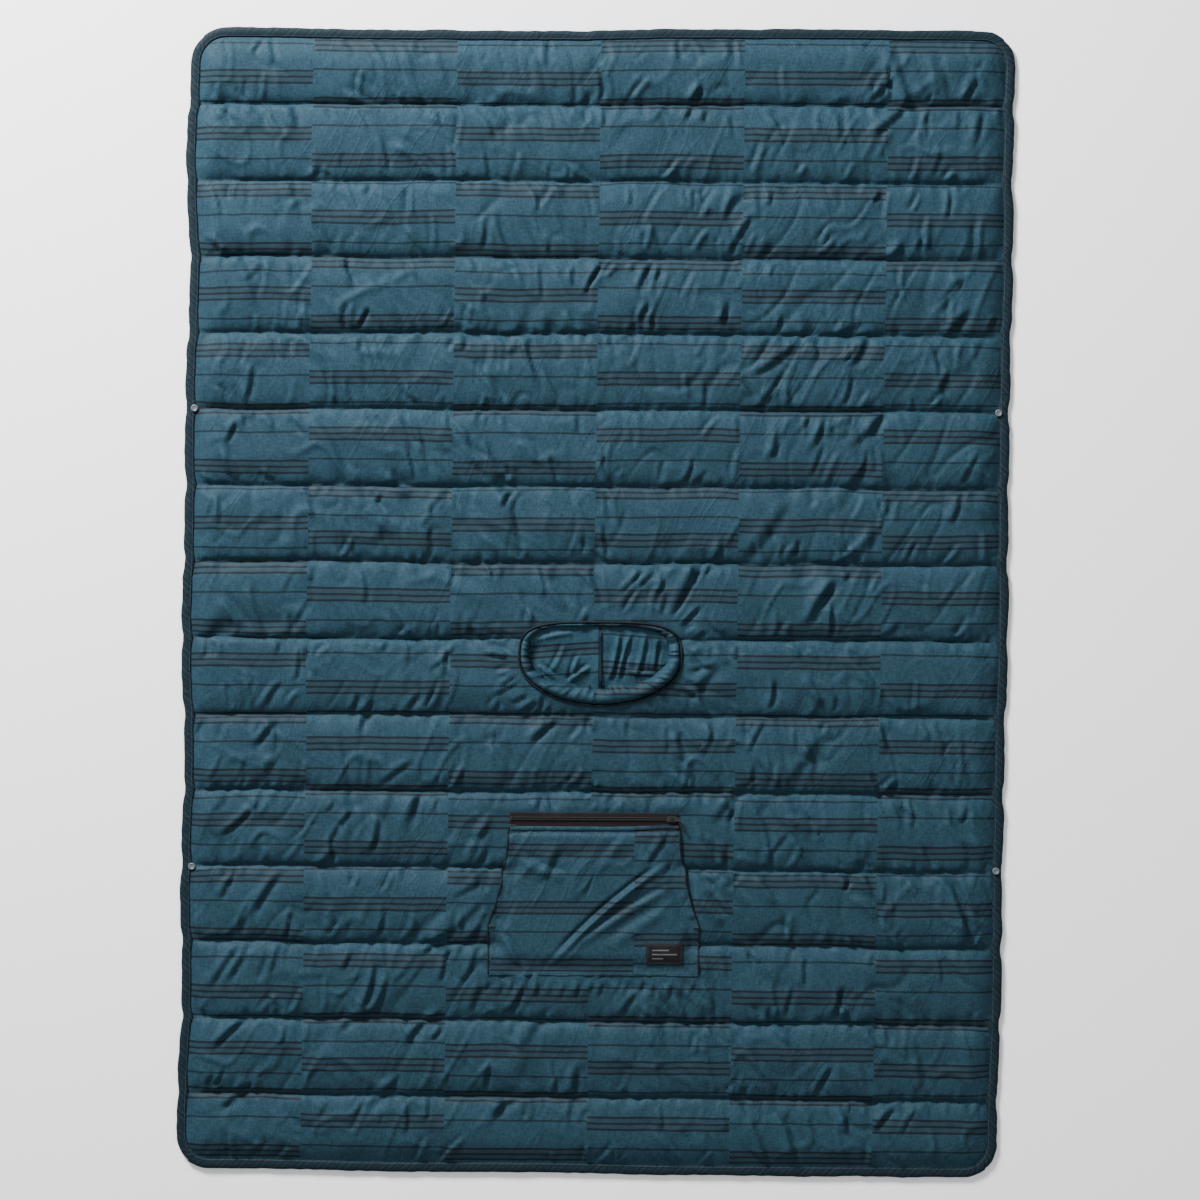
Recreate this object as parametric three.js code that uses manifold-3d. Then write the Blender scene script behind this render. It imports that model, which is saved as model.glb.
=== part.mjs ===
// A quilted camp blanket that wears as a poncho. It lies flat, printed side up: +X is to its right, +Y runs to
// its back hem, +Z points up, and the origin is the centre of its footprint on the surface that it lies on.
// All sizes are in millimetres.
//
// Shell, insulation and lining are sewn through in straight channels across the width. They are bound round the
// rim, and open at a neck hole that holds a tucked-in hood. A zipped pouch pocket sits on the front half. The
// blanket folds in half at the seam that crosses the neck hole, where its side snaps come opposite each other.

import * as THREE from "three";
import { mergeVertices } from "three/addons/utils/BufferGeometryUtils.js";
import Module from "manifold-3d";

const wasm = await Module();
wasm.setup();

// ---------------------------------------------------------------- driving dimensions

const LENGTH = 2000; // back hem to front hem
const WIDTH = 1440; // side to side
const CORNER_RADIUS = 60;
const CHANNELS = 15; // quilted channels from hem to hem
const CROWN = 16; // height of a channel over the floor
const UNDERSIDE_LIFT = 3.4; // how far the lining stands off the floor at a seam
const FABRIC = 0.5; // thickness of the shell and of the lining
const SEWN_INSULATION = 1.2; // insulation left under a seam
const CLEARANCE = 0.3; // between pieces that touch

const BINDING_WIDTH = 17;
const BINDING_WALL = 0.7;
const BINDING_EDGE = 1; // thickness of the binding's outer fold
const BINDING_SLACK = 0.6; // spare height inside the binding
const STITCH_WIDTH = 0.8;
const STITCH_HEIGHT = 0.6;
const BINDING_STITCH_MARGIN = 1.6; // from the binding's inner edge to its stitching

const FOLD_SEAM = 8; // the seam that the blanket folds at, counted from the back hem
const FOLD_GAP = 1;
const SNAP_SEAMS_AWAY = 3; // seams from the fold to each snap
const SNAP_DIAMETER = 12.5;
const SNAP_CAP_HEIGHT = 2;
const SNAP_POST_DIAMETER = 2.2;
const SNAP_HALF_HEIGHT = 3; // of the socket, and of the stud with its knob
const SNAP_KNOB_DIAMETER = 4.2;
const SNAP_INSET = BINDING_WIDTH + 1; // from the side to the middle of a snap

const NECK_HALF_WIDTH = 140;
const NECK_BACK = 62; // from the widest line of the neck hole to its back edge
const NECK_FRONT = 80; // from the same line to its front edge
const NECK_CORNER_RADIUS = 38;
const NECK_BEFORE_FOLD = 33; // the widest line lies this far in front of the fold
const NECK_BINDING = 3;
const COLLAR_SIDE = 12; // width of the padded collar at the sides
const COLLAR_BACK = 6;
const COLLAR_FRONT = 27;
const COLLAR_OVER_CROWN = 4;
const HOOD_THICKNESS = 7;
const HOOD_ABOVE_FLOOR = 4;
const HOOD_SEAM_WIDTH = 4;
const HOOD_SIDE_CLEARANCE = 1.2;
const HOOD_SWING_CLEARANCE = 3; // in front of the hood, which swings up out of the collar
const HOOD_HINGE_WIDTH = 200; // the hood's back edge, inside the collar's round corners
const HOOD_HINGE_NOTCH = 20; // how far in front of that edge the hood widens

const POCKET_TOP_WIDTH = 294;
const POCKET_WIDTH = 366;
const POCKET_HEIGHT = 268;
const HAND_OPENING_HEIGHT = 180; // of the slanting open edge, along Y
const POCKET_BELOW_FOLD = 318; // from the fold to the pocket's top edge
const POCKET_RISE = 9; // of the panel over its sewn edges
const POCKET_FLANGE = 8; // width of the panel's flat sewn edge
const POCKET_RAMP = 30; // from the flange to the full rise
const OPEN_EDGE_SHARE = 0.62; // of the rise, along a hand opening
const PANEL = 0.8; // thickness of the pocket panel
const BARTACK_LENGTH = 10;
const BARTACK_WIDTH = 2.2;

const ZIP_TAPE_WIDTH = 9.5;
const ZIP_CHAIN_GAP = 1.2; // between the two coils, and between the two tapes
const ZIP_COIL_WIDTH = 2.6;
const ZIP_COIL_HEIGHT = 2;
const ZIP_STOP_LENGTH = 3;
const SLIDER_LENGTH = 16;
const SLIDER_WIDTH = 10;
const SLIDER_WING = 1.3;
const SLIDER_POST = 0.6; // the blade that runs between the coils
const BRIDGE_LENGTH = 8.2;
const BRIDGE_WIDTH = 1.8;
const BRIDGE_WALL = 1.1;
const PULL_BAR = 1.4; // the bar that turns under the bridge
const PULL_LENGTH = 16; // from the turning bar's middle to the tab's end
const PULL_WIDTH = 7.6;
const PULL_HOLE = 3.6; // for the cord
const CORD_DIAMETER = 1.6;
const CORD_LOOP_LENGTH = 24;
const CORD_SPREAD = 1.6; // of each strand from the middle of the loop
const CORD_LIFT = 1.8; // of each strand from the middle of the tab
const CORD_ANGLE = THREE.MathUtils.degToRad(-58); // the way the loop lies, from +X
const PULL_WINDOW_LENGTH = 5.4;
const PULL_WINDOW_WIDTH = 4;
const PULL_PLAY = 0.45; // round the bar

const LABEL_WIDTH = 64;
const LABEL_HEIGHT = 36;
const LABEL_FROM_SIDE = 27;
const LABEL_FROM_BOTTOM = 21;

const COLOURS = {
  print: 0x2f5568,
  binding: 0x24404f,
  lining: 0x23262e,
  insulation: 0xd9dadb,
  thread: 0x1c2733,
  zip: 0x1b1a1f,
  metal: 0x24252a,
  snap: 0x868d94,
  label: 0x1e1d22,
};

// ---------------------------------------------------------------- places worked out from them

const CHANNEL = LENGTH / CHANNELS;
const seamY = (number) => LENGTH / 2 - number * CHANNEL;
const FOLD_Y = seamY(FOLD_SEAM);

// The layers where they are sewn flat, from the floor up.
const SEWN = {};
SEWN.lining = UNDERSIDE_LIFT;
SEWN.insulation = SEWN.lining + FABRIC + CLEARANCE;
SEWN.shell = SEWN.insulation + SEWN_INSULATION + CLEARANCE;
SEWN.top = SEWN.shell + FABRIC;

const BINDING_BOTTOM = SEWN.lining - CLEARANCE - BINDING_WALL;
const BINDING_INNER_TOP = SEWN.top + CLEARANCE + BINDING_SLACK;
const BINDING_TOP = BINDING_INNER_TOP + BINDING_WALL;
const LAYER_INSET = BINDING_EDGE + CLEARANCE; // the layers' edge, in from the rim

// Shares of a channel's loft, by distance from a seam and from the flat edge strip.
const SEAM_RAMP = 18;
const EDGE_RAMP = 16;
const EDGE_CROWN = 56;
const RAMP_SHARE = 0.68;
const FLAT_EDGE = SNAP_INSET + SNAP_DIAMETER / 2 + 1;

const NECK_Y = FOLD_Y - NECK_BEFORE_FOLD;
const COLLAR_TOP = CROWN + COLLAR_OVER_CROWN;
const POCKET_TOP_Y = FOLD_Y - POCKET_BELOW_FOLD;
const POCKET_BOTTOM_Y = POCKET_TOP_Y - POCKET_HEIGHT;
const HAND_OPENING_Y = POCKET_TOP_Y - HAND_OPENING_HEIGHT;

// The zip, from the shell up: slider wing, tape, coil, slider wing, bridge.
const WING_BOTTOM = CROWN + CLEARANCE;
const TAPE_BOTTOM = WING_BOTTOM + SLIDER_WING + CLEARANCE;
const COIL_BOTTOM = TAPE_BOTTOM + FABRIC + CLEARANCE;
const TOP_WING_BOTTOM = COIL_BOTTOM + ZIP_COIL_HEIGHT + CLEARANCE;
const TOP_WING_TOP = TOP_WING_BOTTOM + SLIDER_WING;
const PULL_AXIS_Z = TOP_WING_TOP + PULL_PLAY + PULL_BAR / 2;
const BRIDGE_BOTTOM = PULL_AXIS_Z + PULL_BAR / 2 + PULL_PLAY;
const POCKET_SEWN_Z = COIL_BOTTOM; // the panel's flange lies on the zip tape
const ZIP_Y = POCKET_TOP_Y + ZIP_TAPE_WIDTH + ZIP_CHAIN_GAP / 2 - POCKET_FLANGE / 2;
const ZIP_HALF_LENGTH = POCKET_TOP_WIDTH / 2 - ZIP_STOP_LENGTH - 1;
const SLIDER_X = ZIP_HALF_LENGTH - SLIDER_LENGTH / 2 - 1;

// ---------------------------------------------------------------- solids

const ROUND_SEGMENTS = 6;
const DISC_SEGMENTS = 20;

/** A closed three.js geometry as a manifold-3d solid. */
function solidOf(geometry) {
  const bare = geometry.clone();
  bare.deleteAttribute("normal");
  bare.deleteAttribute("uv");
  const merged = mergeVertices(bare, 1e-3);
  return new wasm.Manifold(
    new wasm.Mesh({
      numProp: 3,
      vertProperties: merged.attributes.position.array,
      triVerts: new Uint32Array(merged.index.array),
    }),
  );
}

/** A manifold-3d solid as a three.js geometry. */
function geometryOf(solid) {
  const mesh = solid.getMesh();
  const geometry = new THREE.BufferGeometry();
  geometry.setAttribute("position", new THREE.BufferAttribute(mesh.vertProperties, 3));
  geometry.setIndex(new THREE.BufferAttribute(mesh.triVerts, 1));
  geometry.computeVertexNormals();
  return geometry;
}

/** A shape's prism from one height to another, as a solid. */
function prism(shape, bottom, top) {
  const options = { depth: top - bottom, bevelEnabled: false, curveSegments: ROUND_SEGMENTS };
  return solidOf(new THREE.ExtrudeGeometry(shape, options).translate(0, 0, bottom));
}

/** A box between two corners, as a solid. */
function block([x0, y0, z0], [x1, y1, z1]) {
  const box = new THREE.BoxGeometry(x1 - x0, y1 - y0, z1 - z0);
  return solidOf(box.translate((x0 + x1) / 2, (y0 + y1) / 2, (z0 + z1) / 2));
}

/** A round pin from one height to another, as a solid. */
function pin(x, y, diameter, bottom, top) {
  const radius = diameter / 2;
  const round = new THREE.CylinderGeometry(radius, radius, top - bottom, DISC_SEGMENTS);
  return solidOf(round.rotateX(Math.PI / 2).translate(x, y, (bottom + top) / 2));
}

/** The rounded outline of the blanket, taken in by a distance. */
function rimShape(inset) {
  const x = WIDTH / 2 - inset;
  const y = LENGTH / 2 - inset;
  const r = Math.max(CORNER_RADIUS - inset, 1);
  const shape = new THREE.Shape();
  shape.moveTo(x, r - y);
  shape.absarc(x - r, y - r, r, 0, Math.PI / 2);
  shape.absarc(r - x, y - r, r, Math.PI / 2, Math.PI);
  shape.absarc(r - x, r - y, r, Math.PI, 1.5 * Math.PI);
  shape.absarc(x - r, r - y, r, 1.5 * Math.PI, 2 * Math.PI);
  return shape;
}

/** The neck outline: nearly straight at the back, round at the front, taken in by three distances. */
function neckShape(side, back = side, front = side) {
  const a = NECK_HALF_WIDTH - side;
  const top = NECK_Y + NECK_BACK - back;
  const r = NECK_CORNER_RADIUS - Math.min(side, back);
  const shape = new THREE.Shape();
  shape.moveTo(a, NECK_Y);
  shape.absarc(a - r, top - r, r, 0, Math.PI / 2);
  shape.absarc(r - a, top - r, r, Math.PI / 2, Math.PI);
  shape.absellipse(0, NECK_Y, a, NECK_FRONT - front, Math.PI, 2 * Math.PI);
  return shape;
}

/** How far a point lies inside the blanket's rim, with the four corners counted as rim. */
function insideRim(x, y) {
  const fromSide = WIDTH / 2 - Math.abs(x);
  const fromHem = LENGTH / 2 - Math.abs(y);
  const inCorner = Math.max(fromSide, fromHem) < CORNER_RADIUS;
  return inCorner ? 0 : Math.min(fromSide, fromHem);
}

/** A value that goes from 0 over RAMP_SHARE to 1 as a distance passes two marks. */
function ramp(distance, mark, end) {
  const share = THREE.MathUtils.clamp(distance / mark, 0, 1) * RAMP_SHARE;
  return share + THREE.MathUtils.clamp((distance - mark) / (end - mark), 0, 1) * (1 - RAMP_SHARE);
}

/** Loft of the quilt at a point: 0 where it is sewn flat, 1 at the crown of a channel. */
function loft(x, y) {
  const seam = THREE.MathUtils.clamp(Math.round((LENGTH / 2 - y) / CHANNEL), 1, CHANNELS - 1);
  const fromSeam = Math.abs(y - seamY(seam));
  const fromEdge = insideRim(x, y) - FLAT_EDGE;
  return ramp(fromSeam, SEAM_RAMP, CHANNEL / 2) * ramp(fromEdge, EDGE_RAMP, EDGE_CROWN);
}

/** A sheet between two heights over a grid of places, in columns and rows, as a solid. */
function gridSheet(across, along, placeAt, bottomAt, topAt) {
  const corners = [];
  const faces = [];
  const count = (across + 1) * (along + 1);
  for (const heightAt of [bottomAt, topAt])
    for (let v = 0; v <= along; v++)
      for (let u = 0; u <= across; u++) {
        const [x, y] = placeAt(u, v);
        corners.push(x, y, heightAt(x, y));
      }
  const at = (u, v) => v * (across + 1) + u;
  for (let v = 0; v < along; v++)
    for (let u = 0; u < across; u++) {
      const [a, b, c, d] = [at(u, v), at(u + 1, v), at(u + 1, v + 1), at(u, v + 1)];
      faces.push(a, c, b, a, d, c);
      faces.push(count + a, count + b, count + c, count + a, count + c, count + d);
    }
  const wall = (a, b) => faces.push(a, b, count + b, a, count + b, count + a);
  for (let u = 0; u < across; u++) {
    wall(at(u, 0), at(u + 1, 0));
    wall(at(u + 1, along), at(u, along));
  }
  for (let v = 0; v < along; v++) {
    wall(at(across, v), at(across, v + 1));
    wall(at(0, v + 1), at(0, v));
  }
  const geometry = new THREE.BufferGeometry();
  geometry.setAttribute("position", new THREE.Float32BufferAttribute(corners, 3));
  geometry.setIndex(faces);
  return solidOf(geometry);
}

/** A sheet between two heights over straight columns and rows, as a solid. */
function sheet(columns, rows, bottomAt, topAt) {
  const placeAt = (u, v) => [columns[u], rows[v]];
  return gridSheet(columns.length - 1, rows.length - 1, placeAt, bottomAt, topAt);
}

// ---------------------------------------------------------------- the model

const blanket = new THREE.Group();
const frontHalf = new THREE.Group();
const backHalf = new THREE.Group();
const hood = new THREE.Group();
const pocket = new THREE.Group();
const zip = new THREE.Group();
blanket.add(backHalf, frontHalf);
frontHalf.add(hood, pocket);
pocket.add(zip);

function finish(colour, roughness = 0.85, metalness = 0) {
  return new THREE.MeshStandardMaterial({ color: colour, roughness, metalness });
}

function add(group, name, solid, material) {
  const mesh = new THREE.Mesh(geometryOf(solid), material);
  mesh.name = name;
  group.add(mesh);
}

const printed = finish(COLOURS.print);
const bound = finish(COLOURS.binding);
const lined = finish(COLOURS.lining);
const filled = finish(COLOURS.insulation, 0.95);
const sewn = finish(COLOURS.thread);
const taped = finish(COLOURS.zip);
const metal = finish(COLOURS.metal, 0.4, 0.8);
const snapped = finish(COLOURS.snap, 0.45);
const woven = finish(COLOURS.label);

const HALVES = [
  { name: "back", group: backHalf, sign: 1, end: LENGTH / 2 },
  { name: "front", group: frontHalf, sign: -1, end: -LENGTH / 2 },
];
const foldEdge = (half) => FOLD_Y + (half.sign * FOLD_GAP) / 2;
const snapY = (half) => FOLD_Y + half.sign * SNAP_SEAMS_AWAY * CHANNEL;
const snapX = (side) => side * (WIDTH / 2 - SNAP_INSET);
const SIDES = [
  { name: "left", sign: -1 },
  { name: "right", sign: 1 },
];

/** The grid that the quilt's layers are made on: columns across the width. */
function quiltColumns() {
  const half = [LAYER_INSET, FLAT_EDGE, FLAT_EDGE + EDGE_RAMP, FLAT_EDGE + EDGE_CROWN];
  const right = half.map((inset) => WIDTH / 2 - inset);
  return [...right.map((x) => -x), ...right.reverse()];
}

/** The rows of one half of the quilt, in rising order. */
function quiltRows(half) {
  const rows = new Set([foldEdge(half), half.end - half.sign * LAYER_INSET]);
  for (const inset of [FLAT_EDGE, FLAT_EDGE + EDGE_RAMP, FLAT_EDGE + EDGE_CROWN])
    rows.add(half.end - half.sign * inset);
  for (let number = 1; number < CHANNELS; number++) {
    const y = seamY(number);
    const places = [y, y + SEAM_RAMP, y - SEAM_RAMP, y + CHANNEL / 2, y - CHANNEL / 2];
    for (const place of places) {
      const fromFold = (place - FOLD_Y) * half.sign;
      const fromHem = LENGTH / 2 - Math.abs(place);
      if (fromFold > FOLD_GAP && fromHem > FLAT_EDGE + EDGE_CROWN) rows.add(place);
    }
  }
  const sorted = [...rows].sort((a, b) => a - b);
  return sorted.filter((y, i) => i === 0 || y - sorted[i - 1] > 1e-6);
}

/** Cuts the rim's corners, the neck hole and the snaps' post holes out of a layer. */
function trimmed(layer, half) {
  const high = CROWN + 1;
  let cut = layer.intersect(prism(rimShape(LAYER_INSET), -1, high));
  cut = cut.subtract(prism(neckShape(-NECK_BINDING - CLEARANCE), -1, high));
  for (const side of SIDES) {
    const hole = SNAP_POST_DIAMETER + 2 * CLEARANCE;
    cut = cut.subtract(pin(snapX(side.sign), snapY(half), hole, -1, high));
  }
  return cut;
}

function addLayers(half) {
  const columns = quiltColumns();
  const rows = quiltRows(half);
  const puff = CROWN - SEWN.top; // how far a crown stands over a seam
  const under = (x, y) => Math.min(1, 1.5 * loft(x, y)) * UNDERSIDE_LIFT;
  const over = (x, y) => loft(x, y) * puff;
  const layer = (bottomAt, topAt) => trimmed(sheet(columns, rows, bottomAt, topAt), half);
  const lining = layer(
    (x, y) => SEWN.lining - under(x, y),
    (x, y) => SEWN.lining + FABRIC - under(x, y),
  );
  const insulation = layer(
    (x, y) => SEWN.insulation - under(x, y),
    (x, y) => SEWN.insulation + SEWN_INSULATION + over(x, y),
  );
  const shell = layer(
    (x, y) => SEWN.shell + over(x, y),
    (x, y) => SEWN.top + over(x, y),
  );
  add(half.group, `lining_${half.name}`, lining, lined);
  add(half.group, `insulation_${half.name}`, insulation, filled);
  add(half.group, `shell_${half.name}`, shell, printed);
}

/** Everything on one side of the fold. */
function halfSpace(half) {
  const far = LENGTH;
  const y = [foldEdge(half), half.sign * far].sort((a, b) => a - b);
  return block([-far, y[0], -far], [far, y[1], far]);
}

function addBinding(half) {
  const outer = prism(rimShape(0), BINDING_BOTTOM, BINDING_TOP);
  const inner = prism(rimShape(BINDING_WIDTH), BINDING_BOTTOM - 1, BINDING_TOP + 1);
  const slot = prism(rimShape(BINDING_EDGE), BINDING_BOTTOM + BINDING_WALL, BINDING_INNER_TOP);
  let binding = outer.subtract(inner).subtract(slot).intersect(halfSpace(half));
  for (const side of SIDES) {
    const hole = SNAP_POST_DIAMETER + 2 * CLEARANCE;
    binding = binding.subtract(pin(snapX(side.sign), snapY(half), hole, 0, BINDING_TOP + 1));
  }
  add(half.group, `binding_${half.name}`, binding, bound);

  const bottom = BINDING_TOP + CLEARANCE;
  const margin = BINDING_WIDTH - BINDING_STITCH_MARGIN;
  const stitch = prism(rimShape(margin - STITCH_WIDTH), bottom, bottom + STITCH_HEIGHT)
    .subtract(prism(rimShape(margin), bottom - 1, bottom + STITCH_HEIGHT + 1))
    .intersect(halfSpace(half));
  add(half.group, `binding_stitching_${half.name}`, stitch, sewn);
}

function addQuiltSeams() {
  const end = WIDTH / 2 - FLAT_EDGE;
  const rowAt = (x, y, underneath = SEWN.top + CLEARANCE) =>
    block(
      [x[0], y - STITCH_WIDTH / 2, underneath],
      [x[1], y + STITCH_WIDTH / 2, underneath + STITCH_HEIGHT],
    );
  for (let number = 1; number < CHANNELS; number++) {
    const name = `quilt_seam_${String(number).padStart(2, "0")}`;
    if (number === FOLD_SEAM) continue;
    const y = seamY(number);
    const group = number < FOLD_SEAM ? backHalf : frontHalf;
    add(group, name, rowAt([-end, end], y), sewn);
  }
  // The fold's own seam stops at the neck on each side. It lies just behind the fold, on the rising shell.
  const y = FOLD_Y + FOLD_GAP + STITCH_WIDTH;
  const rise = loft(0, y + STITCH_WIDTH / 2) * (CROWN - SEWN.top);
  const start = NECK_HALF_WIDTH + NECK_BINDING + 3 * CLEARANCE;
  for (const side of SIDES) {
    const x = [side.sign * start, side.sign * end].sort((a, b) => a - b);
    const row = rowAt(x, y, SEWN.top + CLEARANCE + rise);
    add(backHalf, `quilt_seam_0${FOLD_SEAM}_${side.name}`, row, sewn);
  }
}

/** A turned part from its profile, given as [radius, height] pairs, standing at a place. */
function turned(profile, x, y, z) {
  const points = profile.map(([radius, height]) => new THREE.Vector2(radius, height));
  const lathe = new THREE.LatheGeometry(points, DISC_SEGMENTS);
  return solidOf(lathe.rotateX(Math.PI / 2).translate(x, y, z));
}

function addSnaps(half) {
  const radius = SNAP_DIAMETER / 2;
  const post = SNAP_POST_DIAMETER / 2;
  const knob = SNAP_KNOB_DIAMETER / 2;
  const capBottom = BINDING_TOP + 2 * CLEARANCE + STITCH_HEIGHT;
  const under = BINDING_BOTTOM - CLEARANCE; // top of the socket or stud
  const halfTop = Math.min(under, SNAP_HALF_HEIGHT);
  const flange = halfTop * 0.4; // thickness of the plate that carries the knob, or closes the socket
  const postBottom = halfTop - flange + CLEARANCE;
  for (const side of SIDES) {
    const x = snapX(side.sign);
    const y = snapY(half);
    const cap = turned(
      [
        [0, postBottom],
        [post, postBottom],
        [post, capBottom],
        [radius, capBottom],
        [radius, capBottom + SNAP_CAP_HEIGHT * 0.35],
        [radius * 0.82, capBottom + SNAP_CAP_HEIGHT * 0.85],
        [radius * 0.4, capBottom + SNAP_CAP_HEIGHT],
        [0, capBottom + SNAP_CAP_HEIGHT],
      ],
      x, y, 0,
    );
    add(half.group, `snap_cap_${half.name}_${side.name}`, cap, snapped);
    const bore = post + CLEARANCE;
    if (half.name === "back") {
      const socket = turned(
        [
          [bore, halfTop - flange],
          [knob + CLEARANCE, halfTop - flange],
          [knob + CLEARANCE, 0],
          [radius, 0],
          [radius, halfTop],
          [bore, halfTop],
          [bore, halfTop - flange],
        ],
        x, y, 0,
      );
      add(half.group, `snap_socket_${side.name}`, socket, snapped);
    } else {
      const stud = turned(
        [
          [0, 0],
          [knob, 0],
          [knob, halfTop - flange],
          [radius, halfTop - flange],
          [radius, halfTop],
          [bore, halfTop],
          [bore, halfTop - flange],
          [0, halfTop - flange],
        ],
        x, y, 0,
      );
      add(half.group, `snap_stud_${side.name}`, stud, snapped);
    }
  }
}

function addNeck() {
  const rim = prism(neckShape(-NECK_BINDING), BINDING_BOTTOM, COLLAR_TOP)
    .subtract(prism(neckShape(0), BINDING_BOTTOM - 1, COLLAR_TOP + 1));
  add(frontHalf, "neck_binding", rim, bound);

  const inner = neckShape(COLLAR_SIDE, COLLAR_BACK, COLLAR_FRONT);
  const collar = prism(neckShape(CLEARANCE), BINDING_BOTTOM, COLLAR_TOP)
    .subtract(prism(inner, BINDING_BOTTOM - 1, COLLAR_TOP + 1));
  add(frontHalf, "collar_roll", collar, printed);

  const outline = neckShape(
    COLLAR_SIDE + HOOD_SIDE_CLEARANCE,
    COLLAR_BACK + HOOD_SIDE_CLEARANCE,
    COLLAR_FRONT + HOOD_SWING_CLEARANCE,
  );
  const top = HOOD_ABOVE_FLOOR + HOOD_THICKNESS;
  const backEdge = NECK_Y + NECK_BACK - HOOD_HINGE_NOTCH - COLLAR_BACK;
  let packet = prism(outline, HOOD_ABOVE_FLOOR, top);
  for (const side of SIDES) {
    const x = [(side.sign * HOOD_HINGE_WIDTH) / 2, side.sign * NECK_HALF_WIDTH].sort((a, b) => a - b);
    packet = packet.subtract(block([x[0], backEdge, 0], [x[1], NECK_Y + NECK_BACK, top + 1]));
  }
  const far = NECK_HALF_WIDTH;
  const half = HOOD_SEAM_WIDTH / 2;
  const front = NECK_Y - NECK_FRONT;
  const back = NECK_Y + NECK_BACK;
  for (const side of SIDES) {
    const x = [side.sign * (half + CLEARANCE), side.sign * far].sort((a, b) => a - b);
    const panel = packet.intersect(block([x[0], front, 0], [x[1], back, top + 1]));
    add(hood, `hood_panel_${side.name}`, panel, printed);
  }
  const seam = packet.intersect(block([-half, front, 0], [half, back, top + 1]));
  add(hood, "hood_centre_seam", seam, bound);
}

/** Half the pocket's width at a height along Y. */
function pocketHalfWidth(y) {
  const share = THREE.MathUtils.clamp((POCKET_TOP_Y - y) / HAND_OPENING_HEIGHT, 0, 1);
  return THREE.MathUtils.lerp(POCKET_TOP_WIDTH, POCKET_WIDTH, share) / 2;
}

/** Share of the pocket panel's rise at a point: 0 on its sewn edges. */
function pocketRise(x, y) {
  const rise = (distance) => THREE.MathUtils.clamp((distance - POCKET_FLANGE) / POCKET_RAMP, 0, 1);
  const ends = Math.min(rise(POCKET_TOP_Y - y), rise(y - POCKET_BOTTOM_Y));
  const toSide = rise(pocketHalfWidth(y) - Math.abs(x));
  const open = THREE.MathUtils.clamp((y - HAND_OPENING_Y) / POCKET_RAMP, 0, 1) * OPEN_EDGE_SHARE;
  return Math.min(ends, Math.max(toSide, open));
}

/** The pocket's outline, taken in by a distance. */
function pocketShape(inset) {
  const shape = new THREE.Shape();
  shape.moveTo(-POCKET_WIDTH / 2 + inset, POCKET_BOTTOM_Y + inset);
  shape.lineTo(POCKET_WIDTH / 2 - inset, POCKET_BOTTOM_Y + inset);
  shape.lineTo(POCKET_WIDTH / 2 - inset, HAND_OPENING_Y);
  shape.lineTo(POCKET_TOP_WIDTH / 2 - inset, POCKET_TOP_Y - inset);
  shape.lineTo(-POCKET_TOP_WIDTH / 2 + inset, POCKET_TOP_Y - inset);
  shape.lineTo(-POCKET_WIDTH / 2 + inset, HAND_OPENING_Y);
  return shape;
}

/** Columns and rows between two ends, closer together where the panel rises. */
function pocketRows() {
  const top = POCKET_TOP_Y;
  const bottom = POCKET_BOTTOM_Y;
  const opening = HAND_OPENING_Y;
  const ramped = POCKET_FLANGE + POCKET_RAMP;
  return [
    bottom, bottom + POCKET_FLANGE, bottom + ramped, opening, opening + POCKET_RAMP,
    top - ramped, top - POCKET_FLANGE, top,
  ];
}

/** A sheet whose columns follow the pocket's sloping sides. */
function pocketSheet(bottomAt, topAt) {
  const insets = [0, POCKET_FLANGE, POCKET_FLANGE + POCKET_RAMP];
  const columns = [...insets.map((inset) => [-1, inset]), ...insets.reverse().map((inset) => [1, inset])];
  const rows = pocketRows();
  const placeAt = (u, v) => {
    const [sign, inset] = columns[u];
    return [sign * (pocketHalfWidth(rows[v]) - inset), rows[v]];
  };
  return gridSheet(columns.length - 1, rows.length - 1, placeAt, bottomAt, topAt);
}

function addPocket() {
  const panelBottom = (x, y) => POCKET_SEWN_Z + pocketRise(x, y) * POCKET_RISE;
  const panel = pocketSheet(panelBottom, (x, y) => panelBottom(x, y) + PANEL);
  add(pocket, "pocket_panel", panel, printed);

  const backing = prism(pocketShape(0), CROWN + CLEARANCE, CROWN + CLEARANCE + FABRIC);
  const zipSpace = block(
    [-WIDTH, POCKET_TOP_Y - POCKET_FLANGE - 2, 0],
    [WIDTH, LENGTH, COLLAR_TOP + WIDTH],
  );
  add(pocket, "pocket_lining", backing.subtract(zipSpace), lined);

  // Stitching on the flange, down both sides below the hand openings and along the bottom.
  const bottom = POCKET_SEWN_Z + PANEL + CLEARANCE;
  const top = bottom + STITCH_HEIGHT;
  const margin = POCKET_FLANGE / 2;
  const below = block([-WIDTH, -LENGTH, 0], [WIDTH, HAND_OPENING_Y - BARTACK_LENGTH - 3, top + 1]);
  const stitch = prism(pocketShape(margin), bottom, top)
    .subtract(prism(pocketShape(margin + STITCH_WIDTH), bottom - 1, top + 1))
    .intersect(below);
  add(pocket, "pocket_stitching", stitch, sewn);

  // A bartack at each end of each hand opening: across at the top, along the side at the bottom.
  const tacks = [
    { place: "top", x: BARTACK_LENGTH / 2 + 1, y: POCKET_TOP_Y - margin, long: true },
    { place: "bottom", x: margin, y: HAND_OPENING_Y - BARTACK_LENGTH / 2 - 1, long: false },
  ];
  for (const side of SIDES)
    for (const { place, x, y, long } of tacks) {
      const middle = side.sign * (pocketHalfWidth(y) - x);
      const reachX = (long ? BARTACK_LENGTH : BARTACK_WIDTH) / 2;
      const reachY = (long ? BARTACK_WIDTH : BARTACK_LENGTH) / 2;
      const tack = block([middle - reachX, y - reachY, bottom], [middle + reachX, y + reachY, top]);
      add(pocket, `pocket_bartack_${place}_${side.name}`, tack, sewn);
    }
}

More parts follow.
